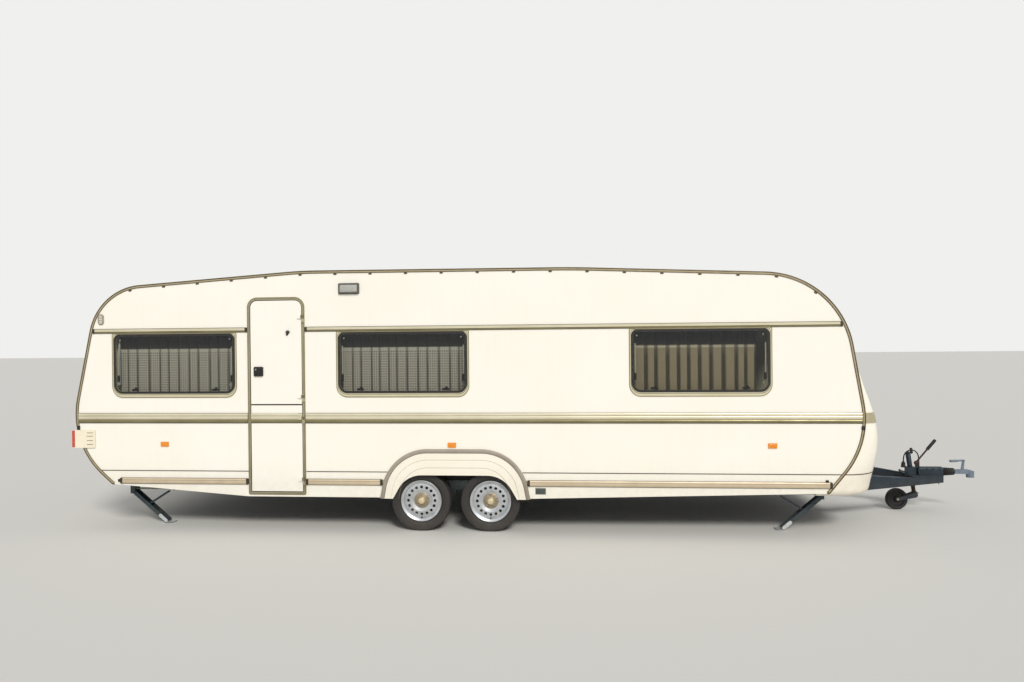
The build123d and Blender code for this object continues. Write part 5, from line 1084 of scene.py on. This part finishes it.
# Lamps: louvre lines on the tail lamps, prism frames on the reflectors, ribbed lens on the awning lamp
lampShape = {"louvreX": -4.325, "louvreZ": (0.936, 0.903, 0.860, 0.823), "reflectorStand": 0.0085,
             "reflectors": ((-3.563, 0.826), (-0.736, 0.825), (2.211, 0.827)), "prismShift": 0.013,
             "ribReach": 0.066, "ribs": 9, "ribStand": 0.007, "plate": (0.0965, 0.397)}
lampBox, awningBox = (np.array(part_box(name)) for name in ("tail_lamps", "awning_lamp"))
lampFace = np.abs(lampBox[:, 1]).max()
for side in (near, far):
    louvres = [plate((lampShape["louvreX"], -side * lampFace, z), 0.032, 0.0026, 0.002,
                     (-0.001, 0.0006, 0.0006, 0.0010), outOf(side)) for z in lampShape["louvreZ"]]
    putPiece(f"lampLouvres_{sideName[side]}", louvres, "body", "louvreBrown")
    prismY = -side * (halfWidth + lampShape["reflectorStand"])
    prisms = [plate((x + sign * lampShape["prismShift"], prismY, z), 0.010, 0.014, 0.003,
                    (-0.002, 0.0008, 0.002, 0.0020), outOf(side))
              for x, z in lampShape["reflectors"] for sign in (-1, 1)]
    putPiece(f"reflectorPrisms_{sideName[side]}", prisms, "body", "amberLens")
out = outOf(near)
lensX, lensY, lensZ = awningBox.mean(0)[0] + 0.004, awningBox[0][1], awningBox.mean(0)[2]
awningLens = plate((lensX, lensY, lensZ), 0.082, 0.033, 0.010, (-0.002, 0.003, 0.006, 0.007), out)
ribs = [plate((lensX + shift, lensY - lampShape["ribStand"], lensZ), 0.0015, 0.026, 0.001,
              (-0.001, 0.0008, 0.0006, 0.0012), out)
        for shift in np.linspace(-lampShape["ribReach"], lampShape["ribReach"], lampShape["ribs"])]
putPiece("awningLens", [awningLens], "body", "frostedLens")
putPiece("awningRibs", ribs, "body", "frostedLens")
# a small blank plate beside the arch, in a plated rim
platePlace = (lampShape["plate"][0], -halfWidth, lampShape["plate"][1])
putPiece("blankPlateRim", [plate(platePlace, 0.050, 0.032, 0.003, (-0.0005, 0.0012, 0.0006, 0.0016), out)],
         "body", "platedBolt")
putPiece("blankPlate", [plate(platePlace, 0.044, 0.026, 0.002, (0.0010, 0.0020, 0.0004, 0.0022), out)],
         "body", "slatePlate")
print("lamps dressed")

# Door hinges: olive sleeves over the knuckles that the CAD leaves have, a plate beside each, and a pale
# cover where the lower leaf's strap crosses the waist strip
hingeShape = {"x": -2.171, "stand": 0.017, "radius": 0.0092, "plateX": -2.1790, "plateHalf": 0.0080,
              "plateStand": 0.019, "coverX": -2.2045, "coverHalf": 0.0162, "waist": (1.02, 1.14)}
hingeLevels = (-0.0105, 0.0, 0.0005, 0.0006)


def hingePlate(x, half, low, high):
    return plate((x, -halfWidth - hingeShape["plateStand"], (low + high) / 2), half,
                 (high - low) / 2 + 0.0004, 0.002, hingeLevels, (0, -1, 0))


hingeSets = {}
for leaf in ("upper", "lower"):
    points = np.array([v.co for v in nodes[f"door_{leaf}"].data.vertices])
    proud = points[(points[:, 1] < -halfWidth - 0.0098) & (points[:, 0] > -2.20)]
    levels = np.unique(np.round(proud[:, 2], 3))
    hingeSets[leaf] = []
    for group in np.split(levels, np.where(np.diff(levels) > 0.12)[0] + 1):
        low, high, radius = group.min(), group.max(), hingeShape["radius"]
        tall = high - low
        sleeve = [(0.0, 0.0), (radius - 0.0004, 0.0), (radius, 0.0008), (radius, tall - 0.0006),
                  (radius - 0.0007, tall), (0.0, tall)]
        hingeSets[leaf].append(lathe(sleeve, (hingeShape["x"], -halfWidth - hingeShape["stand"], low),
                                     (0, 0, 1), 20))
        hingeSets[leaf].append(hingePlate(hingeShape["plateX"], hingeShape["plateHalf"], low, high))
        if hingeShape["waist"][0] < (low + high) / 2 < hingeShape["waist"][1]:
            cover = hingePlate(hingeShape["coverX"], hingeShape["coverHalf"], low, high)
            putPiece(f"hingeCover_door_{leaf}", [cover], f"door_leaf_{leaf}", "paleStrip")
putPiece("hingeSleevesUpper", hingeSets["upper"], "door_leaf_upper", "oliveStrip")
putPiece("hingeSleevesLower", hingeSets["lower"], "door_leaf_lower", "oliveStrip")

# Jockey post: its foot and lean, painted sleeves (height, length), grip on the crank (height, y)
post = {"lean": math.radians(8.0), "foot": (3.911, 0.0, 0.251), "sleeves": ((0.204, 0.129), (-0.007, 0.087)),
        "crank": (0.352, -0.105)}
postUp = np.array([-math.sin(post["lean"]), 0.0, math.cos(post["lean"])])
sleeves = [lathe([(0.0243, 0.0), (0.0249, 0.0008), (0.0249, tall - 0.001), (0.0243, tall), (0.0241, tall),
                  (0.0241, 0.0)], post["foot"] + postUp * height, postUp, 40, True)
           for height, tall in post["sleeves"]]
putPiece("postSleeves", sleeves, "body", "shadedDrawbarPaint")
crank = post["foot"] + postUp * post["crank"][0] + (0.0, post["crank"][1], 0.0)
putPiece("crankGrip", [lathe([(0.0, 0.004), (0.0125, 0.004), (0.0138, 0.010), (0.0138, 0.050),
                              (0.0128, 0.056), (0.0, 0.058)], crank, postUp, 24)], "body", "blackAbs")


# where a straight line first meets a CAD node, and the outward direction there
def meets(nodeName, start, direction):
    hit, place, normal, face = nodes[nodeName].ray_cast(Vector(start), Vector(direction))
    return (np.array(place), np.array(normal)) if hit else None


# Overrun housing: painted bolts through its sides, bright ones with their ends below the drawbar's end
housing = {"sideX": (4.035, 4.100, 4.165), "sideZ": 0.428, "sideSize": 0.0080, "lowX": (4.000, 4.152),
           "lowY": (-0.046, 0.046), "lowSize": 0.0095,
           "boltEnd": [(0, 0), (0.0050, 0), (0.0050, 0.0170), (0.0042, 0.0182), (0, 0.0182)]}
sideBolts, lowBolts = [], []
for side in (near, far):
    for x in housing["sideX"]:
        found = meets("overrun_housing", (x, -side * 0.40, housing["sideZ"]), -outOf(side))
        if found is not None:
            sideBolts.append(bolts(housing["sideSize"], outOf(side), [found[0]]))
putPiece("housingBolts", sideBolts, "body", "shadedDrawbarPaint")
down = np.array([0.0, 0.0, -1.0])
for x in housing["lowX"]:
    for y in housing["lowY"]:
        found = meets("drawbar", (x, y, 0.10), -down) or meets("overrun_housing", (x, y, 0.10), -down)
        if found is not None:
            lowBolts.append(bolts(housing["lowSize"], down, [found[0]]))
            lowBolts.append(lathe(housing["boltEnd"], found[0], down, 14))
putPiece("drawbarBolts", lowBolts, "body", "platedBolt")

# Handbrake: ribbed rubber grip over the lever's end, its ribs a cosine along the lever
lever = {"foot": (3.958, 0.040, 0.480), "end": (4.153, 0.040, 0.717), "grip": 0.127, "radius": 0.0164,
         "ribPitch": 0.011, "ribHeight": 0.0007}
leverEnd = np.array(lever["end"])
leverRun = (leverEnd - lever["foot"]) / np.linalg.norm(leverEnd - lever["foot"])
along = np.linspace(-lever["grip"], -0.004, 93)
ribbed = lever["radius"] + lever["ribHeight"] * np.cos(2 * math.pi * along / lever["ribPitch"])
gripProfile = [(0, along[0]), *zip(ribbed, along), (0.0150, 0.0020), (0.0110, 0.0055), (0, 0.0065)]
putPiece("leverGrip", [lathe(gripProfile, leverEnd, leverRun, 28)], "body", "bellowsRubber")

# Jockey wheel: clamp handle behind the post, nuts on the axle's ends
handlePath = smoothLine([(3.850, -0.034, 0.400), (3.815, -0.036, 0.402), (3.790, -0.037, 0.407),
                         (3.766, -0.037, 0.415)], 6)
knob = lathe([(0, -0.010), (0.0095, -0.008), (0.0125, 0), (0.0095, 0.008), (0, 0.010)], handlePath[-1],
             (-0.95, 0.0, 0.31), 20)
putPiece("clampHandle", [tube(handlePath, 0.0062), knob], "body", "shadedDrawbarPaint")
axle = np.array([3.745, 0.0, 0.110])
nuts = [bolts(0.0120, outOf(side), [axle + outOf(side) * 0.0412]) for side in (near, far)]
putPiece("jockeyNuts", nuts, "jockey_castor", "platedBolt")

# Coupling handle: thicker cast grip on the end of its bar, rising along it; x and growth of each ring
coupling = {"halfWide": 0.0175, "halfHigh": 0.0112, "radius": 0.006, "start": (4.284, 0.505), "rise": 8 / 144,
            "rings": ((4.2825, -0.006), (4.2845, -0.001), (4.288, 0.0), (4.352, 0.0), (4.357, -0.0012),
                      (4.360, -0.0030))}
gripRings = []
for x, grow in coupling["rings"]:
    ring = roundedRing(coupling["halfWide"] + grow, coupling["halfHigh"] + grow, coupling["radius"])
    middle = coupling["start"][1] + (x - coupling["start"][0]) * coupling["rise"]
    gripRings.append(np.stack([np.full(len(ring), x), ring[:, 0], middle + ring[:, 1]], -1))
putPiece("couplingGrip", [stack(gripRings)], "body", "castCoupling")

# Steadies: shoes on the feet, painted bright as in full sun, and threads on the spindles; pivot x and foot x
# of each end
steady = {"y": 0.950, "wide": 0.080, "pivotZ": 0.315, "footZ": 0.022, "pitch": 0.0035, "spindleZ": 0.337,
          "reach": 0.395, "threadRadius": 0.0073, "threadHeight": 0.0009,
          "ends": {"front": (2.710, 2.367), "rear": (-4.044, -3.701)}}
threads = []
for end, (pivotX, footX) in steady["ends"].items():
    inward = math.copysign(1.0, footX - pivotX)
    legRun = np.array([pivotX - footX, 0.0, steady["pivotZ"] - steady["footZ"]])
    legRun /= np.linalg.norm(legRun)
    legUp = np.array([-legRun[2], 0.0, legRun[0]])
    for side in (near, far):
        y, tag = -side * steady["y"], f"{end}_{handName[side]}"
        pad = plate((footX + inward * 0.0325, y, 0.0058), 0.0412, 0.0442, 0.006, (0, 0.0016, 0.0012, 0.0026),
                    (0, 0, 1), (1, 0, 0), (0, 1, 0))
        cheeks = [plate(np.array([footX, y + turn * steady["wide"] / 2, steady["footZ"]]) + legRun * 0.038,
                        0.055, 0.0172, 0.016, (-0.0006, 0.0008, 0.0006, 0.0014), (0, turn, 0), legRun, legUp)
                  for turn in (-1, 1)]
        putPiece(f"steadyShoe_{tag}", [pad, *cheeks], f"steady_{tag}", "sunlitZinc")
        turns = np.arange(0.0, steady["reach"], steady["pitch"] / 2)
        radius = steady["threadRadius"] + steady["threadHeight"] * (np.arange(len(turns)) % 2)
        threads.append(lathe([(0, 0), *zip(radius, turns), (0, turns[-1])],
                             (pivotX + inward * 0.012, y, steady["spindleZ"]), (inward, 0, 0), 18))
putPiece("spindleThreads", threads, "body", "platedBolt")

# Gas locker: two twist latches near the lid's lower corners
latchShape = {"y": (-0.56, 0.56), "z": 0.665,
              "rose": [(0, -0.001), (0.021, -0.001), (0.021, 0.004), (0.018, 0.006), (0, 0.006)]}
latches = []
for y in latchShape["y"]:
    found = meets("locker_lid", (4.2, y, latchShape["z"]), (-1.0, 0.0, 0.0))
    if found is not None:
        place, normal = found
        latches.append(lathe(latchShape["rose"], place, normal, 28))
        latches.append(plate(place + normal * 0.0055, 0.019, 0.0055, 0.004, (0, 0.007, 0.002, 0.009), normal,
                             (0.0, 1.0, 0.0), np.cross(normal, (0.0, 1.0, 0.0))))
putPiece("lidLatches", latches, "locker_lid_body", "blackAbs")
print("hitch and steadies dressed")

# Light: a soft sun from the camera's left, an even sky, a pale backdrop for the eye and for reflections
scene = bpy.context.scene
scene.view_settings.view_transform = "Standard"
sun = bpy.data.lights.new("sun", "SUN")
sun.energy = lighting["sunStrength"]
sun.angle = math.radians(lighting["sunSoftness"])
sun.color = linear(lighting["sunColour"])[:3]
sunHolder = bpy.data.objects.new("sun", sun)
sunHolder.rotation_mode = "QUATERNION"
sunHolder.rotation_quaternion = Vector(lighting["sunFrom"]).to_track_quat("Z", "Y")
scene.collection.objects.link(sunHolder)
world = bpy.data.worlds.new("paleRoom")
scene.world = world
world.use_nodes = True
tree = world.node_tree
tree.nodes.clear()
rays = addNode(tree, "LightPath").outputs
seen = rays["Is Camera Ray"]
for kind in ("Is Glossy Ray", "Is Transmission Ray"):
    seen = addNode(tree, "Math", {0: seen, 1: rays[kind]}, operation="ADD", use_clamp=True)
sky = addNode(tree, "Background", {"Color": linear(lighting["sky"]), "Strength": lighting["skyStrength"]})
pale = addNode(tree, "Background", {"Color": linear(lighting["backdrop"]), "Strength": 1.0})
addNode(tree, "OutputWorld", {"Surface": addNode(tree, "MixShader", {0: seen, 1: sky, 2: pale})})
reach = lighting["floorReach"]
floorMesh = bpy.data.meshes.new("paleFloor")
floorMesh.from_pydata([(-reach, -reach, 0), (reach, -reach, 0), (reach, reach, 0), (-reach, reach, 0)], [],
                      [(0, 1, 2, 3)])
paleFloor = bpy.data.objects.new("paleFloor", floorMesh)
scene.collection.objects.link(paleFloor)
paint = bpy.data.materials.new("mattPaleFloor")
paint.use_nodes = True
paintShader = paint.node_tree.nodes["Principled BSDF"].inputs
paintShader["Base Color"].default_value = linear(lighting["floor"])
paintShader["Roughness"].default_value = lighting["floorRough"]
paleFloor.data.materials.append(paint)
